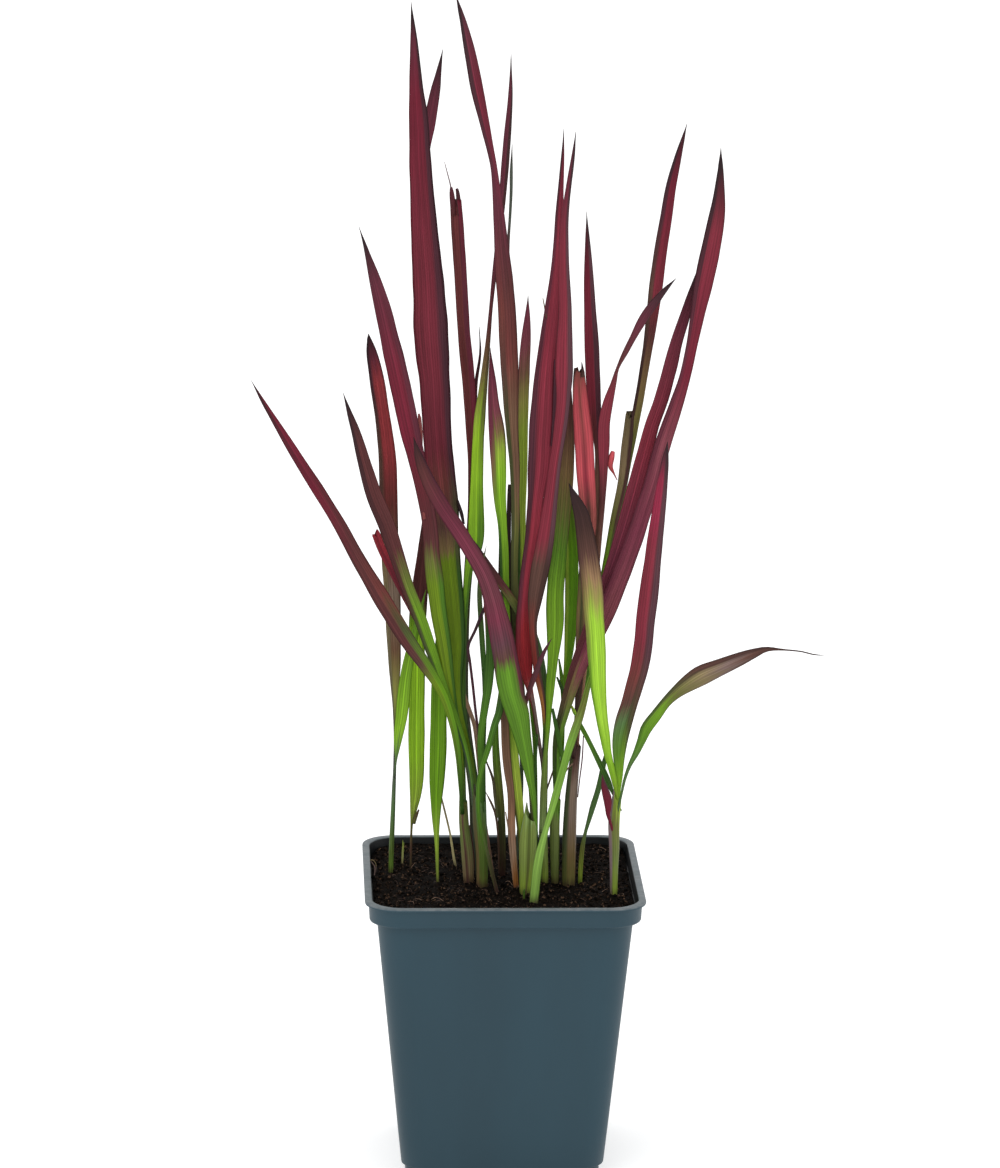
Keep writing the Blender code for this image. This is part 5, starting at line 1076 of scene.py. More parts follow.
def drain_cutter():
    """Round pegs where the floor's drain holes are."""
    pegs = bmesh.new()
    for x in DRAIN_HOLE_OFFSETS:
        for y in DRAIN_HOLE_OFFSETS:
            if x or y:
                peg = bmesh.ops.create_cone(pegs, cap_ends=True, segments=DRAIN_HOLE_SIDES,
                                            depth=FLOOR_THICK * 3 * MM, radius1=DRAIN_HOLE_RADIUS * MM,
                                            radius2=DRAIN_HOLE_RADIUS * MM)
                bmesh.ops.translate(pegs, verts=peg["verts"], vec=(x * MM, y * MM, FLOOR_THICK / 2 * MM))
    mesh = bpy.data.meshes.new("drain_cutter")
    pegs.to_mesh(mesh)
    pegs.free()
    cutter = bpy.data.objects.new("drain_cutter", mesh)
    bpy.context.scene.collection.objects.link(cutter)
    return cutter


def bake_modifiers(obj):
    """Makes an object's evaluated shape its own mesh."""
    bpy.context.view_layer.update()
    graph = bpy.context.evaluated_depsgraph_get()
    mesh = bpy.data.meshes.new_from_object(obj.evaluated_get(graph))
    obj.modifiers.clear()
    obj.data = mesh


def soil_height(x, y):
    """The lumpy top of the soil, heaped up along the back."""
    lumps = math.sin(0.12 * x + 1.3) * math.cos(0.1 * y) + 0.5 * math.sin(0.19 * y + 0.15 * x)
    heap = SOIL_BACK_RISE * max(0.0, y / BODY_TOP_HALF) ** 3
    return SOIL_TOP + SOIL_RELIEF * lumps + heap


def foot_places():
    """Where the sheaths and the rooted blades come out of the soil."""
    rooted = [leaf for leaf in LEFT_LEAVES + CENTRE_LEAVES + RIGHT_LEAVES + LOW_LEAVES if leaf.rooted]
    feet = [slide(*shoot.points[0][:2], shoot.depths[0]) for shoot in (*SHEATHS, *rooted)]
    return [(foot.x, foot.y) for foot in feet]


FEET = foot_places()


def mound(x, y):
    """The soil drawn up a little round each foot."""
    nearest = min(math.dist((x, y), foot) for foot in FEET)
    return MOUND_HEIGHT * math.exp(-(nearest / MOUND_REACH) ** 2)


def crumbly_height(x, y, relief):
    """The soil's top with its clods and crumbs."""
    clods = noise.noise(Vector((x * 0.16, y * 0.16, 3.0)))
    crumbs = noise.noise(Vector((x * 0.55, y * 0.55, 8.0)))
    fine = noise.noise(Vector((x * 1.4, y * 1.4, 15.0)))
    clumps = relief * (0.7 * clods + 0.45 * crumbs + 0.25 * fine)
    return soil_height(x, y) - CRUMBLY_DROP + clumps + mound(x, y)


def soil_material(colour):
    """Damp peat: near black, with brown crumbs, pale specks and a little shine."""
    made = Shader("damp_peat")
    place = made.place()
    broad = made.noise(place, 0.16, 3.0)
    crumbs = made.noise(place, 1.3, 5.0, 0.7)
    specks = made.cells(place, 0.85)
    body = made.ramp(crumbs, ((0.35, shade(colour, 0.1)), (0.54, shade(colour, 0.3)),
                              (0.63, shade(colour, 1.4)), (0.72, shade(colour, 5.0))))
    body = made.scale(body, made.vary(broad, 0.6, 1.3))
    some = made.step(made.noise(place, 0.5, 1.0), 0.52, 0.6)
    body = made.mix(made.times(made.fall(specks, 0.05, 0.13), some), body, PALE_SPECKS)
    made.bump(crumbs, 0.7, 0.5)
    return made.finish(body, made.vary(crumbs, 0.95, 0.8), 0.05)


def crumb_material(colour):
    """Peat crumbs, each a little different."""
    made = Shader("peat_crumbs")
    place = made.place()
    kind = made.noise(place, 0.8, 2.0, 0.8)
    grain = made.noise(place, 2.4, 3.0, 0.7)
    body = made.ramp(kind, ((0.38, shade(colour, 0.08)), (0.5, shade(colour, 0.25)),
                            (0.58, shade(colour, 1.8)), (0.66, shade(colour, 9.0))))
    body = made.scale(body, made.vary(grain, 0.4, 1.6))
    made.bump(grain, 0.6, 0.2)
    return made.finish(body, made.vary(grain, 0.9, 0.75), 0.06)


def fibre_material(name, dark, pale):
    """Dry root and coir fibres."""
    made = Shader(name)
    place = made.place()
    body = made.ramp(made.noise(place, 0.35, 3.0, 0.7), ((0.32, dark), (0.68, pale)))
    body = made.scale(body, made.vary(made.noise(place, 3.0, 2.0), 0.7, 1.3))
    made.bump(made.noise(place, 5.0, 1.0), 0.4, 0.05)
    return made.finish(body, 0.7, 0.3)


def seed_of(name):
    """A number of its own for each name."""
    return sum(ord(letter) * (i + 3) for i, letter in enumerate(name)) % 997


def stop_places(stops, heights):
    """Each stop's share of the blade's length, from its height, and its colour."""
    shares = np.linspace(0, 1, len(heights))
    places = []
    for stop in stops.split(", "):
        height, colour = stop.split(" ", 1)
        share = float(np.interp(float(height), heights, shares))
        places.append((min(max(share, 0.0), 1.0), linear(colour)))
    if places[0][0] > 0:
        places.insert(0, (0.0, places[0][1]))
    return places


def blade_colours(made, look, heights, across, place, streaks):
    """A blade's colours from foot to tip, and those of its strip."""
    heights = np.maximum.accumulate(np.asarray(heights) + np.arange(len(heights)) * LEAST_RISE)
    colour = made.ramp(place, stop_places(look.stops, heights))
    if not look.strip:
        return colour
    # The strip's colours are partly the blade's own and partly painted light and shade on one side of its
    # fold.
    start, end, stops = look.strip
    wander = made.math("MULTIPLY_ADD", made.math("SUBTRACT", streaks, 0.5), 0.3, across)
    low = made.step(wander, start - STRIP_BLUR, start + STRIP_BLUR) if start > 0 else 1.0
    high = made.fall(wander, end - STRIP_BLUR, end + STRIP_BLUR) if end < 1 else 1.0
    return made.mix(made.times(low, high), colour, made.ramp(place, stop_places(stops, heights)))


def spots_and_foot_shade(made, colour, x, y, seed, fine, ground):
    """A blade's colour with dark spots, and with painted shade low down on what comes out of the ground."""
    spots = made.step(made.noise(made.vector(x, y, seed + 7), 0.9, 2.0, 0.7), 0.7, 0.76)
    colour = made.mix(made.times(spots, 0.3), colour, linear("dark brown"))
    # Painted shade where the blade meets the soil: dark brown that fades out upwards.
    height = made.math("MULTIPLY_ADD", made.math("SUBTRACT", fine, 0.5), 5.0, made.split(made.place())[2])
    foot_shade = made.fall(height, ground, ground + FOOT_SHADE_HEIGHT)
    return made.mix(made.times(foot_shade, 0.8), colour, linear("dark brown"))


def blade_material(name, look, heights, width, length, vein_gap, ground=0.0):
    """Leaf tissue: colours that run into each other in streaks, veins, a midrib and darker margins.

    What comes out of the soil at the ground's height is darkened there with painted shade.
    """
    made = Shader(name)
    across, along = made.across_and_along()
    seed = seed_of(name)
    x = made.times(across, width)
    y = made.times(along, length)
    streaks = made.noise(made.vector(made.times(x, 1.1), made.times(y, 0.022), seed), 1.0, 3.0)
    fine = made.noise(made.vector(made.times(x, 3.4), made.times(y, 0.05), seed + 40), 1.0, 2.0)
    blotches = made.noise(made.vector(made.times(x, 0.3), made.times(y, 0.07), seed + 80), 1.0)
    off_middle = made.math("ABSOLUTE", made.math("SUBTRACT", across, 0.5))
    margin = made.step(off_middle, 0.36, 0.5)
    shift = made.math("MULTIPLY_ADD", made.math("SUBTRACT", streaks, 0.5), look.ragged * 3.2 / length,
                      made.times(margin, look.ragged * 0.7 / length))
    colour = blade_colours(made, look, heights, across, made.math("ADD", along, shift), streaks)
    turns = 2 * math.pi * max(3, round(width / vein_gap))
    waves = made.math("SINE", made.math("MULTIPLY_ADD", across, turns, made.times(blotches, 3.0)))
    vein = made.step(waves, 0.1, 1.0)
    light = made.times(made.vary(streaks, 0.8, 1.22), made.vary(fine, 0.86, 1.15),
                       made.span(vein, 0.0, 1.0, 1.05, 0.84), made.span(margin, 0.0, 1.0, 1.0, 0.8),
                       made.vary(blotches, 0.93, 1.07))
    colour = made.scale(colour, light)
    if look.rib:
        rib = made.fall(off_middle, 0.03, 0.085)
        colour = made.scale(colour, made.math("MULTIPLY_ADD", rib, look.rib * 1.4, 1.0))
    colour = spots_and_foot_shade(made, colour, x, y, seed, fine, ground)
    made.bump(made.math("ADD", made.times(vein, 0.6), fine), 0.5, 0.12)
    return made.finish(colour, made.vary(fine, 0.42, 0.56), 0.12)


def torn_rim(name, count):
    """How far each point of a torn end stands up, in millimetres."""
    chance = random.Random(seed_of(name))
    rim = [chance.uniform(*TORN_RIM) for _ in range(count)]
    rim[count // 2] = DEEPEST_TEAR
    return rim


def blade_section(half, thick, fold, steps, ripple_of):
    """Across a blade: each step's place, its rise off the middle line and its half thickness there.

    A broad blade is a thin folded sheet, and a narrow stalk is nearly round.
    """
    broad = float(np.interp(half, (STALK_HALF, BROAD_HALF), (0.0, 1.0)))
    sheet = min(thick, 0.14 + 0.1 * half)
    stalk = min(STALK_THICK, 1.4 * half)
    body = stalk + (sheet - stalk) * broad
    section = []
    for place in np.linspace(-1, 1, steps):
        rise = fold * half * (1 - abs(place) ** 1.4) * (0.4 + 0.6 * broad) + half * ripple_of(place)
        flat = 0.5 - 0.34 * place * place
        rounded = 0.5 * math.sqrt(1 - 0.85 * place * place)
        section.append((float(place), rise, body * (rounded + (flat - rounded) * broad)))
    return section


def drawn_down(line, stations):
    """The line with its first stations drawn down, so that its foot is in the soil."""
    sink = soil_height(line[0].x, line[0].y) - ROOT_INTO_SOIL - line[0].z
    return [point + Vector((0, 0, sink * max(0.0, 1 - i / stations))) for i, point in enumerate(line)]


def into_sheath(points):
    """The points with one more before the foot, down inside the sheath."""
    first, second = Vector(points[0]), Vector(points[1])
    back = first + (first - second).normalized() * ROOT_INTO_SHEATH
    return ((back.x, back.y, first.z), *points)


def tear(vertices, leaf, line, steps):
    """Pulls the last ring of a torn blade up and down along it."""
    along = (line[-1] - line[-2]).normalized()
    rim = torn_rim(leaf.name, steps)
    rim = rim + rim[::-1][1:-1]
    first = len(vertices) - len(rim)
    for i, lift in enumerate(rim):
        vertices[first + i] = vertices[first + i] + along * lift


def blade_mesh(leaf, spacing, thick, fold, steps):
    """A thin folded blade on its stalk, with pinched margins and a fine tip or a torn end."""
    points = leaf.points if leaf.rooted else into_sheath(leaf.points)
    stations, line = centre_line(points, leaf.depths, spacing)
    if leaf.rooted:
        line = drawn_down(line, BLADE_FOOT_STATIONS)
    last = len(line) - 1
    length = length_of(points)
    chance = seed_of(leaf.name)
    vertices = []
    uv = []
    for i, (along, across, away) in enumerate(frames_along(line)):
        share = i / last
        angle = math.radians(leaf.turn) * share * share * (3 - 2 * share)
        side = across * math.cos(angle) + away * math.sin(angle)
        face = away * math.cos(angle) - across * math.sin(angle)
        swell = 1 + 0.05 * noise.noise(Vector((share * length * 0.12, chance, 0.0)))
        least = LEAST_BLADE_WIDTH if leaf.blunt or i < last else LEAST_TIP_WIDTH
        half = max(stations[i][2], least) / (2 * math.cos(angle)) * swell
        section = blade_section(half, thick, fold, steps, lambda place: 0.05 * noise.noise(
            Vector((share * length * 0.09, place * 1.3, chance + 9.0))))
        for place, rise, thin in section:
            vertices.append(line[i] + side * (place * half) + face * (rise - thin))
            uv.append((place * 0.5 + 0.5, share))
        for place, rise, thin in section[::-1][1:-1]:
            vertices.append(line[i] + side * (place * half) + face * (rise + thin))
            uv.append((place * 0.5 + 0.5, share))
    if leaf.blunt:
        tear(vertices, leaf, line, steps)
    return vertices, tube_faces(last + 1, 2 * steps - 2, open_end=True), uv


def make_blade(leaf, settings):
    """One blade, coloured by the heights of its stations."""
    vertices, faces, uv = blade_mesh(leaf, settings.spacing / MM, settings.thickness / MM, settings.fold,
                                     settings.steps_across)
    piece = add_piece(f"{leaf.name}_fine", vertices, faces, uv)
    width = max(point[2] for point in leaf.points)
    drawn = [slide(x, z, 0).z for x, z, w in smooth_through(leaf.points, BLADE_HEIGHTS)]
    foot = slide(*leaf.points[0][:2], leaf.depths[0])
    ground = soil_height(foot.x, foot.y) if leaf.rooted else 0.0
    material = blade_material(leaf.name, LOOKS[leaf.name], drawn, width, length_of(leaf.points),
                              settings.vein_gap / MM, ground)
    carry(piece, material, leaf.name)


def make_blades(leaves, settings):
    for leaf in leaves:
        make_blade(leaf, settings)


def make_sheath(sheath, settings):
    """A rolled sheath: its margin overlaps in a seam, and its mouth is cut aslant and hollow."""
    sides = settings.sheath_sides
    stations, line = centre_line(sheath.points, sheath.depths, SHEATH_SPACING)
    line = drawn_down(line, SHEATH_FOOT_STATIONS)
    frames = frames_along(line)
    last = len(line) - 1
    seam = seed_of(sheath.name) % 360 / DEGREES_IN_RADIAN
    vertices = []
    uv = []

    def ring(i, shrink, drop, near_top):
        along, across, away = frames[i]
        half = stations[i][2] / 2 * shrink
        for side in range(sides):
            angle = 2 * math.pi * side / sides
            past = ((angle - seam) / (2 * math.pi)) % 1.0
            tongue = (0.5 + 0.5 * math.cos(angle - MOUTH_HIGH_SIDE)) ** 2 * near_top
            radius = half * (SEAM_INSIDE + SEAM_STEP * past) * (1 - MOUTH_TAPER * tongue)
            out = across * -math.cos(angle) + away * -math.sin(angle)
            vertices.append(line[i] + out * radius + along * (MOUTH_RISE * tongue - drop))
            uv.append((0.5 - 0.5 * math.cos(angle), i / last))

    for i in range(last + 1):
        ring(i, 1.0, 0.0, max(0.0, (i - last + MOUTH_STATIONS) / MOUTH_STATIONS) ** 2)
    ring(last, 0.8, 0.1, 1.0)
    ring(last, 0.7, MOUTH_DEPTH, 0.6)
    piece = add_piece(f"{sheath.name}_fine", vertices, tube_faces(last + 3, sides, open_end=True), uv)
    width = max(point[2] for point in sheath.points)
    heights = [point[1] for point in smooth_through(sheath.points, SHEATH_HEIGHTS)]
    material = blade_material(sheath.name, LOOKS[sheath.name], heights, width, length_of(sheath.points),
                              settings.vein_gap / MM * 0.9, soil_height(line[0].x, line[0].y))
    carry(piece, material, sheath.name)


def make_thread(thread):
    """A hair, scrap or thin dry strand."""
    stations, line = centre_line(thread.points, thread.depths, THREAD_SPACING)
    vertices = []
    uv = []
    last = len(line) - 1
    for i, (along, across, away) in enumerate(frames_along(line)):
        half = max(stations[i][2], LEAST_TIP_WIDTH) / 2
        for side in range(THREAD_SIDES):
            angle = 2 * math.pi * side / THREAD_SIDES
            thin = math.sin(angle) * min(half, THREAD_HALF_THICK)
            vertices.append(line[i] + across * (math.cos(angle) * half) + away * thin)
            uv.append((0.5 + 0.5 * math.cos(angle), i / last))
    piece = add_piece(thread.name, vertices, tube_faces(last + 1, THREAD_SIDES, open_end=True), uv)
    low, high = thread.colours
    stops = f"{thread.points[0][1]} {low}, {thread.points[-1][1]} {high}"
    heights = sorted(point[1] for point in thread.points)
    width = max(point[2] for point in thread.points)
    material = blade_material(thread.name, Look(stops, None, 0.0, 1.0), heights, width,
                              length_of(thread.points), THREAD_VEIN_GAP)
    carry(piece, material)


def make_pot(settings):
    """The thin-walled pot with soft edges and its drain holes."""
    soft = settings.edge_softness / MM
    rings = [rounded_square(half, CORNER * half / LIP_HALF, z, settings.corner_steps, POT_SIDE_STEPS)
             for half, z in pot_profile(soft)]
    vertices = [point for ring in rings for point in ring]
    first_inside = len(rings) - INSIDE_RINGS
    uv = [(float(i >= first_inside), i / len(rings)) for i, ring in enumerate(rings) for point in ring]
    piece = add_piece("pot_fine", vertices, tube_faces(len(rings), len(rings[0]), open_end=True), uv)
    cutter = drain_cutter()
    holes = piece.modifiers.new("drain_holes", "BOOLEAN")
    holes.object = cutter
    holes.operation = "DIFFERENCE"
    holes.solver = "EXACT"
    bake_modifiers(piece)
    bpy.data.objects.remove(cutter, do_unlink=True)
    piece.data.shade_smooth()
    piece.data.set_sharp_from_angle(angle=math.radians(SHARP_DEGREES))
    carry(piece, pot_material(tuple(settings.colour)), "pot")


def soil_rings(half, count, height):
    """Rings of points from a soil edge in to its middle."""
    rings = []
    for ring in range(count):
        reach = half * (1 - ring / count)
        flat = rounded_square(reach, CORNER * reach / LIP_HALF, 0.0, SOIL_CORNER_STEPS, SOIL_SIDE_STEPS)
        rings.append([(x, y, height(x, y)) for x, y, z in flat])
    return rings


def make_soil(settings):
    """The peat that fills the pot, crumbly on top."""
    relief = settings.relief / MM
    band_foot = POT_HEIGHT - LIP_THICK - BAND_HEIGHT
    ledge = band_foot + WALL + GAP
    halves = ((BODY_FOOT_HALF - FOOT_INSET - WALL - GAP, FLOOR_THICK + GAP),
              (body_half(band_foot) - WALL - GAP, ledge),
              (BAND_HALF - BAND_DRAFT - WALL - GAP, ledge + LEDGE_SLOPE))
    rings = [rounded_square(half, CORNER * half / LIP_HALF, z, SOIL_CORNER_STEPS, SOIL_SIDE_STEPS)
             for half, z in halves]
    rings += soil_rings(halves[-1][0], settings.rings, lambda x, y: crumbly_height(x, y, relief))
    vertices = [point for ring in rings for point in ring]
    sides = len(rings[0])
    faces = tube_faces(len(rings), sides)
    vertices.append((0.0, 0.0, crumbly_height(0.0, 0.0, relief)))
    last = (len(rings) - 1) * sides
    faces += [(last + i, last + (i + 1) % sides, len(vertices) - 1) for i in range(sides)]
    piece = add_piece("soil_fine", vertices, faces)
    carry(piece, soil_material(tuple(settings.colour)), "soil")


class Tree(Nodes):
    """A new geometry node tree with named inputs."""

    def __init__(self, name, inputs):
        super().__init__(bpy.data.node_groups.new(name, "GeometryNodeTree"))
        face = self.tree.interface
        face.new_socket("Geometry", in_out="INPUT", socket_type="NodeSocketGeometry")
        face.new_socket("Geometry", in_out="OUTPUT", socket_type="NodeSocketGeometry")
        self.identifiers = {}
        self.values = inputs
        for title, value in inputs.items():
            kind = "NodeSocketInt" if isinstance(value, int) else "NodeSocketFloat"
            socket = face.new_socket(title, in_out="INPUT", socket_type=kind)
            socket.default_value = value
            self.identifiers[title] = socket.identifier
        self.given = self.add("NodeGroupInput").outputs
        self.result = self.add("NodeGroupOutput").inputs["Geometry"]

    def random(self, low, high, seed):
        """A random value, or vector when the limits are vectors, for each point."""
        node = self.add("FunctionNodeRandomValue", Seed=seed)
        vector = isinstance(low, tuple)
        node.data_type = "FLOAT_VECTOR" if vector else "FLOAT"
        first = 0 if vector else 2
        self.put(node.inputs[first], low)
        self.put(node.inputs[first + 1], high)
        return node.outputs[0 if vector else 1]

    def wobble(self, scale, amount):
        """An offset that wanders from place to place by about an amount each way."""
        colour = self.add("ShaderNodeTexNoise", Scale=scale).outputs["Color"]
        centred = self.operate("ShaderNodeVectorMath", "SUBTRACT", colour, (0.5, 0.5, 0.5))
        return self.scale(centred.outputs[0], amount)

    def scatter(self, shape, size, turn):
        """Copies of a shape spread over the given surface, made real."""
        points = self.add("GeometryNodeDistributePointsOnFaces", Mesh=self.given["Geometry"],
                          Density=self.given["Density"], Seed=self.given["Seed"])
        placed = self.add("GeometryNodeInstanceOnPoints", Points=points.outputs["Points"], Instance=shape,
                          Rotation=turn, Scale=size)
        return self.add("GeometryNodeRealizeInstances", Geometry=placed.outputs["Instances"]).outputs[0]

    def close(self, geometry, made_of):
        painted = self.add("GeometryNodeSetMaterial", Geometry=geometry, Material=made_of)
        self.put(self.result, painted.outputs["Geometry"])

    def apply(self, obj):
        """Runs the tree on an object and leaves its result as the object's own plain mesh."""
        modifier = obj.modifiers.new(self.tree.name, "NODES")
        modifier.node_group = self.tree
        for title, value in self.values.items():
            modifier[self.identifiers[title]] = value
        bake_modifiers(obj)
        obj.data.shade_smooth()


def soil_patch(name, relief, reach):
    """A bare copy of the soil's top for bits to be spread over."""
    rings = soil_rings(reach * (BAND_HALF - WALL), PATCH_RINGS, lambda x, y: crumbly_height(x, y, relief))
    vertices = [point for ring in rings for point in ring]
    return add_piece(name, vertices, tube_faces(len(rings), len(rings[0]))[:-1])


def strew(tree, name, settings, reach, paint):
    """Spreads a tree's bits over the soil as one finished piece."""
    piece = soil_patch(name, settings.relief / MM, reach)
    tree.apply(piece)
    carry(piece, paint)


def make_crumbs(name, settings, density, low, high, seed):
    """Crumbs of peat, each turned, sized and dented in its own way."""
    tree = Tree(name, {"Density": density, "Smallest": low, "Largest": high, "Dent": high * 0.5,
                       "Seed": seed})
    given = tree.given
    ball = tree.add("GeometryNodeMeshIcoSphere", Radius=1.0, Subdivisions=2).outputs["Mesh"]
    share = tree.math("POWER", tree.random(0.0, 1.0, 5), 2.2)
    span = tree.math("SUBTRACT", given["Largest"], given["Smallest"])
    size = tree.math("ADD", given["Smallest"], tree.times(share, span))
    turn = tree.random((0.0, 0.0, 0.0), (6.28, 6.28, 6.28), 6)
    stretch = tree.scale(tree.random((0.6, 0.6, 0.5), (1.4, 1.1, 1.0), 7), size)
    made = tree.scatter(ball, stretch, turn)
    dented = tree.add("GeometryNodeSetPosition", Geometry=made, Offset=tree.wobble(1400.0, given["Dent"]))
    paint = crumb_material(tuple(settings.colour))
    tree.close(dented.outputs["Geometry"], paint)
    strew(tree, name, settings, CRUMB_REACH, paint)


def make_fibres(name, settings, density, length, width, lift, paint, seed):
    """Thin bent fibres that lie on the soil or stick out of it."""
    tree = Tree(name, {"Density": density, "Length": length, "Width": width, "Bend": length * 0.35,
                       "Seed": seed})
    given = tree.given
    path = tree.add("GeometryNodeCurveQuadraticBezier", Resolution=7, Start=(-0.5, 0.0, 0.0),
                    Middle=(0.0, 0.25, 0.3), End=(0.5, 0.0, -0.05))
    slim = tree.math("DIVIDE", given["Width"], tree.times(given["Length"], 2.0))
    ring = tree.add("GeometryNodeCurvePrimitiveCircle", Resolution=4, Radius=slim)
    tube = tree.add("GeometryNodeCurveToMesh", Curve=path.outputs["Curve"],
                    Profile_Curve=ring.outputs["Curve"], Fill_Caps=True)
    size = tree.times(tree.random(0.3, 1.0, 5), given["Length"])
    turn = tree.random((-0.5, -lift, 0.0), (0.5, lift, 6.28), 6)
    made = tree.scatter(tube.outputs["Mesh"], size, turn)
    bent = tree.add("GeometryNodeSetPosition", Geometry=made, Offset=tree.wobble(260.0, given["Bend"]))
    tree.close(bent.outputs["Geometry"], paint)
    strew(tree, name, settings, FIBRE_REACH, paint)


def add_light(name, where, power):
    """A soft square light at a place in metres, aimed at the clump."""
    lamp = bpy.data.lights.new(name, "AREA")
    lamp.size = LIGHT_SIZE
    lamp.energy = power
    obj = bpy.data.objects.new(name, lamp)
    obj.location = where
    obj.rotation_euler = (LOOKS_AT * MM - Vector(where)).to_track_quat("-Z", "Y").to_euler()
    bpy.context.scene.collection.objects.link(obj)


def add_camera(lens):
    """The camera at the eye that the clump is drawn from."""
    back = (EYE - LOOKS_AT).normalized()
    level = Vector((0, 0, 1)).cross(back).normalized()
    upright = back.cross(level)
    roll = math.radians(CAMERA_ROLL)
    right = level * math.cos(roll) + upright * math.sin(roll)
    up = upright * math.cos(roll) - level * math.sin(roll)
    camera = bpy.data.objects.new("camera", bpy.data.cameras.new("camera"))
    camera.data.lens = lens
    camera.data.clip_end = FARTHEST_SEEN
    turn = Matrix((right, up, back)).transposed()
    camera.matrix_world = Matrix.Translation(EYE * MM) @ turn.to_4x4()
    bpy.context.scene.collection.objects.link(camera)
    bpy.context.scene.camera = camera


def floor_material(brightness, glow):
    """Pale paper with the faintest mottling, lit up a little from below."""
    made = Shader("pale_floor")
    place = made.place()
    mottled = made.vary(made.noise(place, 0.004, 3.0), brightness * 0.99, brightness)
    white = made.vector(mottled, mottled, mottled)
    made.put(made.shader.inputs["Emission Color"], white)
    made.shader.inputs["Emission Strength"].default_value = glow
    return made.finish(white, 0.9, 0.1)


def make_stage(settings):
    """A pale floor, soft light all round and the camera."""
    half = settings.floor_size / 2 / MM
    corners = ((-half, -half, 0), (half, -half, 0), (half, half, 0), (-half, half, 0))
    floor = add_piece("floor", corners, [(0, 1, 2, 3)], smooth=False)
    floor.data.materials.append(floor_material(settings.floor_brightness, settings.floor_glow))
    world = bpy.data.worlds.new("soft_white")
    world.use_nodes = True
    backdrop = world.node_tree.nodes["Background"]
    backdrop.inputs["Color"].default_value = (1.0, 1.0, 1.0, 1.0)
    backdrop.inputs["Strength"].default_value = settings.sky_strength
    bpy.context.scene.world = world
    add_light("key", KEY_PLACE, settings.key_power)
    add_light("fill", FILL_PLACE, settings.fill_power)
    add_camera(settings.lens)
    bpy.context.scene.view_settings.view_transform = "Standard"


class GrassPotSettings(bpy.types.PropertyGroup):
    edge_softness: FloatProperty(name="Edge Softness", description="Radius of the pot's small edges",
                                 default=0.0004, min=0.0001, max=0.001, subtype="DISTANCE", unit="LENGTH")
    corner_steps: IntProperty(name="Corner Steps", description="Faces round each corner of the pot",
                              default=12, min=4, max=32)
    colour: FloatVectorProperty(name="Colour", description="Colour of the pot's plastic",
                                default=(0.016, 0.042, 0.058), min=0.0, max=1.0, subtype="COLOR")


class GrassSoilSettings(bpy.types.PropertyGroup):
    relief: FloatProperty(name="Relief", description="How far the clods stand out of the soil",
                          default=0.0012, min=0.0, max=0.003, subtype="DISTANCE", unit="LENGTH")
    rings: IntProperty(name="Rings", description="Rings of points from the soil's edge to its middle",
                       default=90, min=10, max=150)
    colour: FloatVectorProperty(name="Colour", description="Colour of the damp peat",
                                default=(0.011, 0.0065, 0.004), min=0.0, max=1.0, subtype="COLOR")
    crumb_density: FloatProperty(name="Crumb Density", description="Crumbs on a square metre of soil",
                                 default=330000.0, min=0.0, max=400000.0)
    crumb_size: FloatProperty(name="Crumb Size", description="Radius of the largest crumbs",
                              default=0.0011, min=0.0002, max=0.003, subtype="DISTANCE", unit="LENGTH")
    fibre_density: FloatProperty(name="Fibre Density", description="Fibres on a square metre of soil",
                                 default=40000.0, min=0.0, max=400000.0)
    fibre_length: FloatProperty(name="Fibre Length", description="Length of the longest fibres",
                                default=0.0034, min=0.001, max=0.02, subtype="DISTANCE", unit="LENGTH")


class GrassBladeSettings(bpy.types.PropertyGroup):
    spacing: FloatProperty(name="Spacing", description="Distance between a blade's stations",
                           default=0.0018, min=0.0008, max=0.01, subtype="DISTANCE", unit="LENGTH")
    thickness: FloatProperty(name="Thickness", description="Thickness of a blade along its midrib",
                             default=0.00045, min=0.0002, max=0.0006, subtype="DISTANCE", unit="LENGTH")
    fold: FloatProperty(name="Fold", description="Depth of a blade's fold as a share of its half width",
                        default=0.16, min=0.0, max=0.5, subtype="FACTOR")
    steps_across: IntProperty(name="Steps Across", description="Points across a blade",
                              default=9, min=5, max=17)
    vein_gap: FloatProperty(name="Vein Gap", description="Distance between a blade's veins",
                            default=0.0008, min=0.0003, max=0.002, subtype="DISTANCE", unit="LENGTH")
    sheath_sides: IntProperty(name="Sheath Sides", description="Points round a sheath",
                              default=28, min=12, max=64)


class GrassStageSettings(bpy.types.PropertyGroup):
    floor_size: FloatProperty(name="Floor Size", description="Width of the floor",
                              default=24.0, min=1.0, max=60.0, subtype="DISTANCE", unit="LENGTH")
    floor_brightness: FloatProperty(name="Floor Brightness",
                                    description="How much light the floor sends back",
                                    default=0.8, min=0.1, max=1.0, subtype="FACTOR")
    floor_glow: FloatProperty(name="Floor Glow", description="How strongly the floor is lit from below",
                              default=0.5, min=0.0, max=2.0)
    sky_strength: FloatProperty(name="Sky Strength", description="Strength of the white all round",
                                default=1.05, min=0.0, max=3.0)
    key_power: FloatProperty(name="Key Power", description="Power of the light at the front left",
                             default=9.0, min=0.0, max=200.0, unit="POWER")
    fill_power: FloatProperty(name="Fill Power", description="Power of the light at the right",
                              default=4.0, min=0.0, max=200.0, unit="POWER")
    lens: FloatProperty(name="Lens", description="Focal length of the camera in millimetres",
                        default=CAMERA_LENS, min=20.0, max=400.0)


class GRASS_OT_pot(bpy.types.Operator):
    """Add the plastic pot"""
    bl_idname = "grass.pot"
    bl_label = "Pot"

    def execute(self, context):
        make_pot(context.scene.grass_pot)
        return {"FINISHED"}


class GRASS_OT_soil(bpy.types.Operator):
    """Add the peat that fills the pot"""
    bl_idname = "grass.soil"
    bl_label = "Soil"

    def execute(self, context):
        make_soil(context.scene.grass_soil)
        return {"FINISHED"}


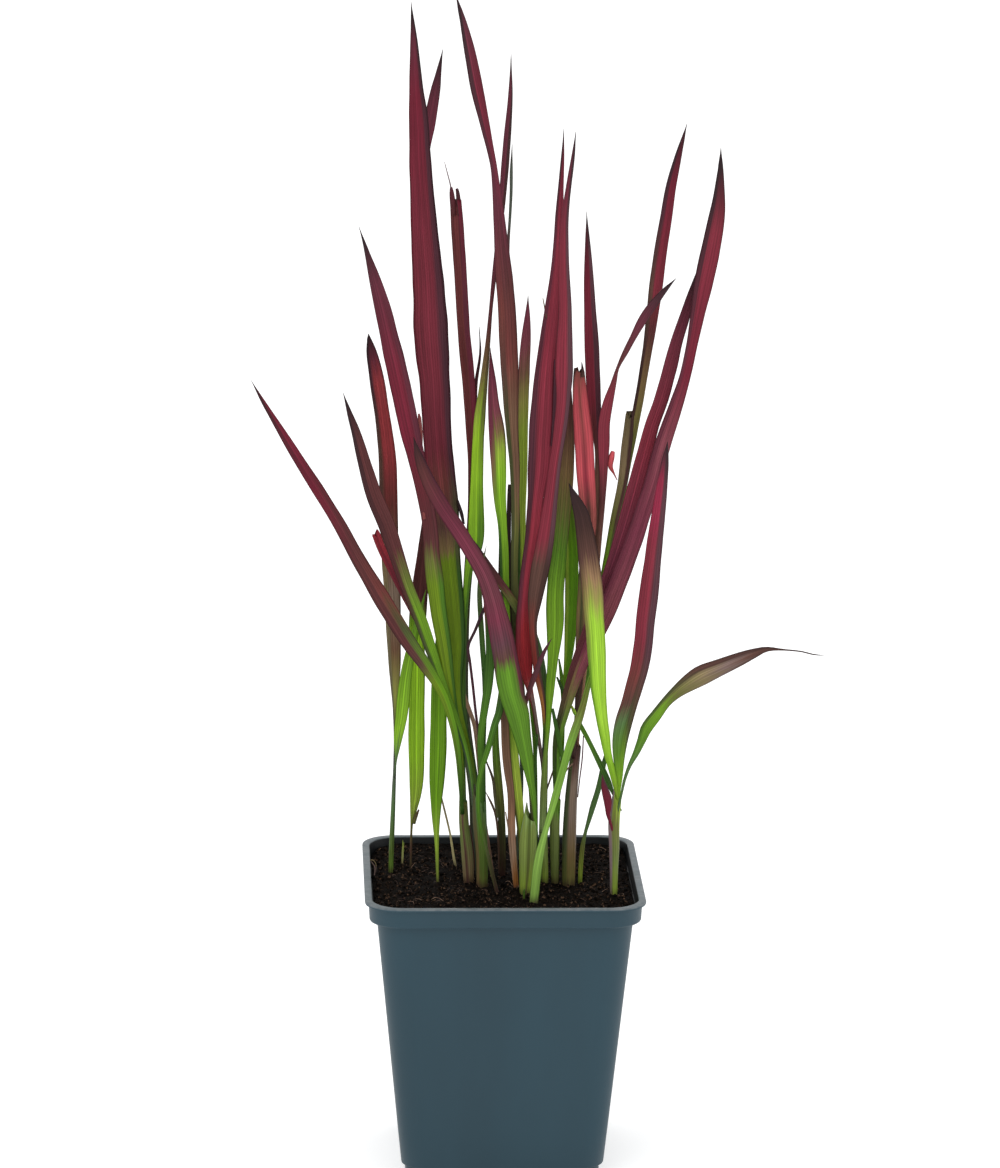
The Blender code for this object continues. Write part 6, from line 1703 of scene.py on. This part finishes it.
class GRASS_OT_crumbs(bpy.types.Operator):
    """Add crumbs of peat on the soil"""
    bl_idname = "grass.crumbs"
    bl_label = "Soil Crumbs"

    def execute(self, context):
        soil = context.scene.grass_soil
        make_crumbs("soil_crumbs", soil, soil.crumb_density, soil.crumb_size * 0.2, soil.crumb_size,
                    CRUMB_SEED)
        return {"FINISHED"}


class GRASS_OT_fibres(bpy.types.Operator):
    """Add fibres and fine roots on the soil"""
    bl_idname = "grass.fibres"
    bl_label = "Soil Fibres"

    def execute(self, context):
        soil = context.scene.grass_soil
        dark = fibre_material("peat_fibre", linear("dark brown"), linear("dry brown"))
        make_fibres("soil_fibres", soil, soil.fibre_density, soil.fibre_length, FIBRE_WIDTH, 0.5, dark,
                    FIBRE_SEED)
        pale = fibre_material("fine_root", linear("brown"), linear("dry pale"))
        make_fibres("fine_roots", soil, soil.fibre_density * 0.1, soil.fibre_length * 1.4, ROOT_WIDTH, 0.35,
                    pale, ROOT_SEED)
        return {"FINISHED"}


class GRASS_OT_sheaths(bpy.types.Operator):
    """Add the rolled sheaths that stand in the soil"""
    bl_idname = "grass.sheaths"
    bl_label = "Sheaths"

    def execute(self, context):
        for sheath in SHEATHS:
            make_sheath(sheath, context.scene.grass_blades)
        return {"FINISHED"}


class BladeMaker:
    """What the operators that add blades share."""
    leaves = ()

    def execute(self, context):
        make_blades(self.leaves, context.scene.grass_blades)
        return {"FINISHED"}


class GRASS_OT_left_blades(BladeMaker, bpy.types.Operator):
    """Add the blades of the left shoots"""
    bl_idname = "grass.left_blades"
    bl_label = "Left Blades"
    leaves = LEFT_LEAVES


class GRASS_OT_centre_blades(BladeMaker, bpy.types.Operator):
    """Add the blades of the centre shoots"""
    bl_idname = "grass.centre_blades"
    bl_label = "Centre Blades"
    leaves = CENTRE_LEAVES


class GRASS_OT_right_blades(BladeMaker, bpy.types.Operator):
    """Add the blades of the right shoots"""
    bl_idname = "grass.right_blades"
    bl_label = "Right Blades"
    leaves = RIGHT_LEAVES


class GRASS_OT_low_bits(BladeMaker, bpy.types.Operator):
    """Add the hidden thread-tipped leaves, the dry stalk and the stubs"""
    bl_idname = "grass.low_bits"
    bl_label = "Stalk And Stubs"
    leaves = LOW_LEAVES


class GRASS_OT_threads(bpy.types.Operator):
    """Add the hair-thin threads and scraps"""
    bl_idname = "grass.threads"
    bl_label = "Threads And Scraps"

    def execute(self, context):
        for thread in THREADS:
            make_thread(thread)
        return {"FINISHED"}


class GRASS_OT_stage(bpy.types.Operator):
    """Add the floor, the light and the camera"""
    bl_idname = "grass.stage"
    bl_label = "Stage"

    def execute(self, context):
        make_stage(context.scene.grass_stage)
        return {"FINISHED"}


OPERATORS = (GRASS_OT_pot, GRASS_OT_soil, GRASS_OT_crumbs, GRASS_OT_fibres, GRASS_OT_sheaths,
             GRASS_OT_left_blades, GRASS_OT_centre_blades, GRASS_OT_right_blades, GRASS_OT_low_bits,
             GRASS_OT_threads, GRASS_OT_stage)
SETTINGS = {"grass_pot": GrassPotSettings, "grass_soil": GrassSoilSettings,
            "grass_blades": GrassBladeSettings, "grass_stage": GrassStageSettings}


class GRASS_PT_builder(bpy.types.Panel):
    """Lists the pieces and their sizes"""
    bl_idname = "GRASS_PT_builder"
    bl_label = "Potted Blood Grass"
    bl_space_type = "VIEW_3D"
    bl_region_type = "UI"
    bl_category = "Grass"

    def draw(self, context):
        for operator in OPERATORS:
            self.layout.operator(operator.bl_idname)
        for title, group in SETTINGS.items():
            box = self.layout.box()
            for field in group.__annotations__:
                box.prop(getattr(context.scene, title), field)


def register():
    for cls in (*SETTINGS.values(), *OPERATORS, GRASS_PT_builder):
        bpy.utils.register_class(cls)
    for title, group in SETTINGS.items():
        setattr(bpy.types.Scene, title, PointerProperty(type=group))


def unregister():
    for title in SETTINGS:
        delattr(bpy.types.Scene, title)
    for cls in (GRASS_PT_builder, *reversed(OPERATORS), *reversed(list(SETTINGS.values()))):
        bpy.utils.unregister_class(cls)


def main():
    register()
    bpy.ops.grass.pot()
    bpy.ops.grass.soil()
    bpy.ops.grass.crumbs()
    bpy.ops.grass.fibres()
    bpy.ops.grass.sheaths()
    bpy.ops.grass.left_blades()
    bpy.ops.grass.centre_blades()
    bpy.ops.grass.right_blades()
    bpy.ops.grass.low_bits()
    bpy.ops.grass.threads()
    bpy.ops.grass.stage()


if __name__ == "__main__":
    main()
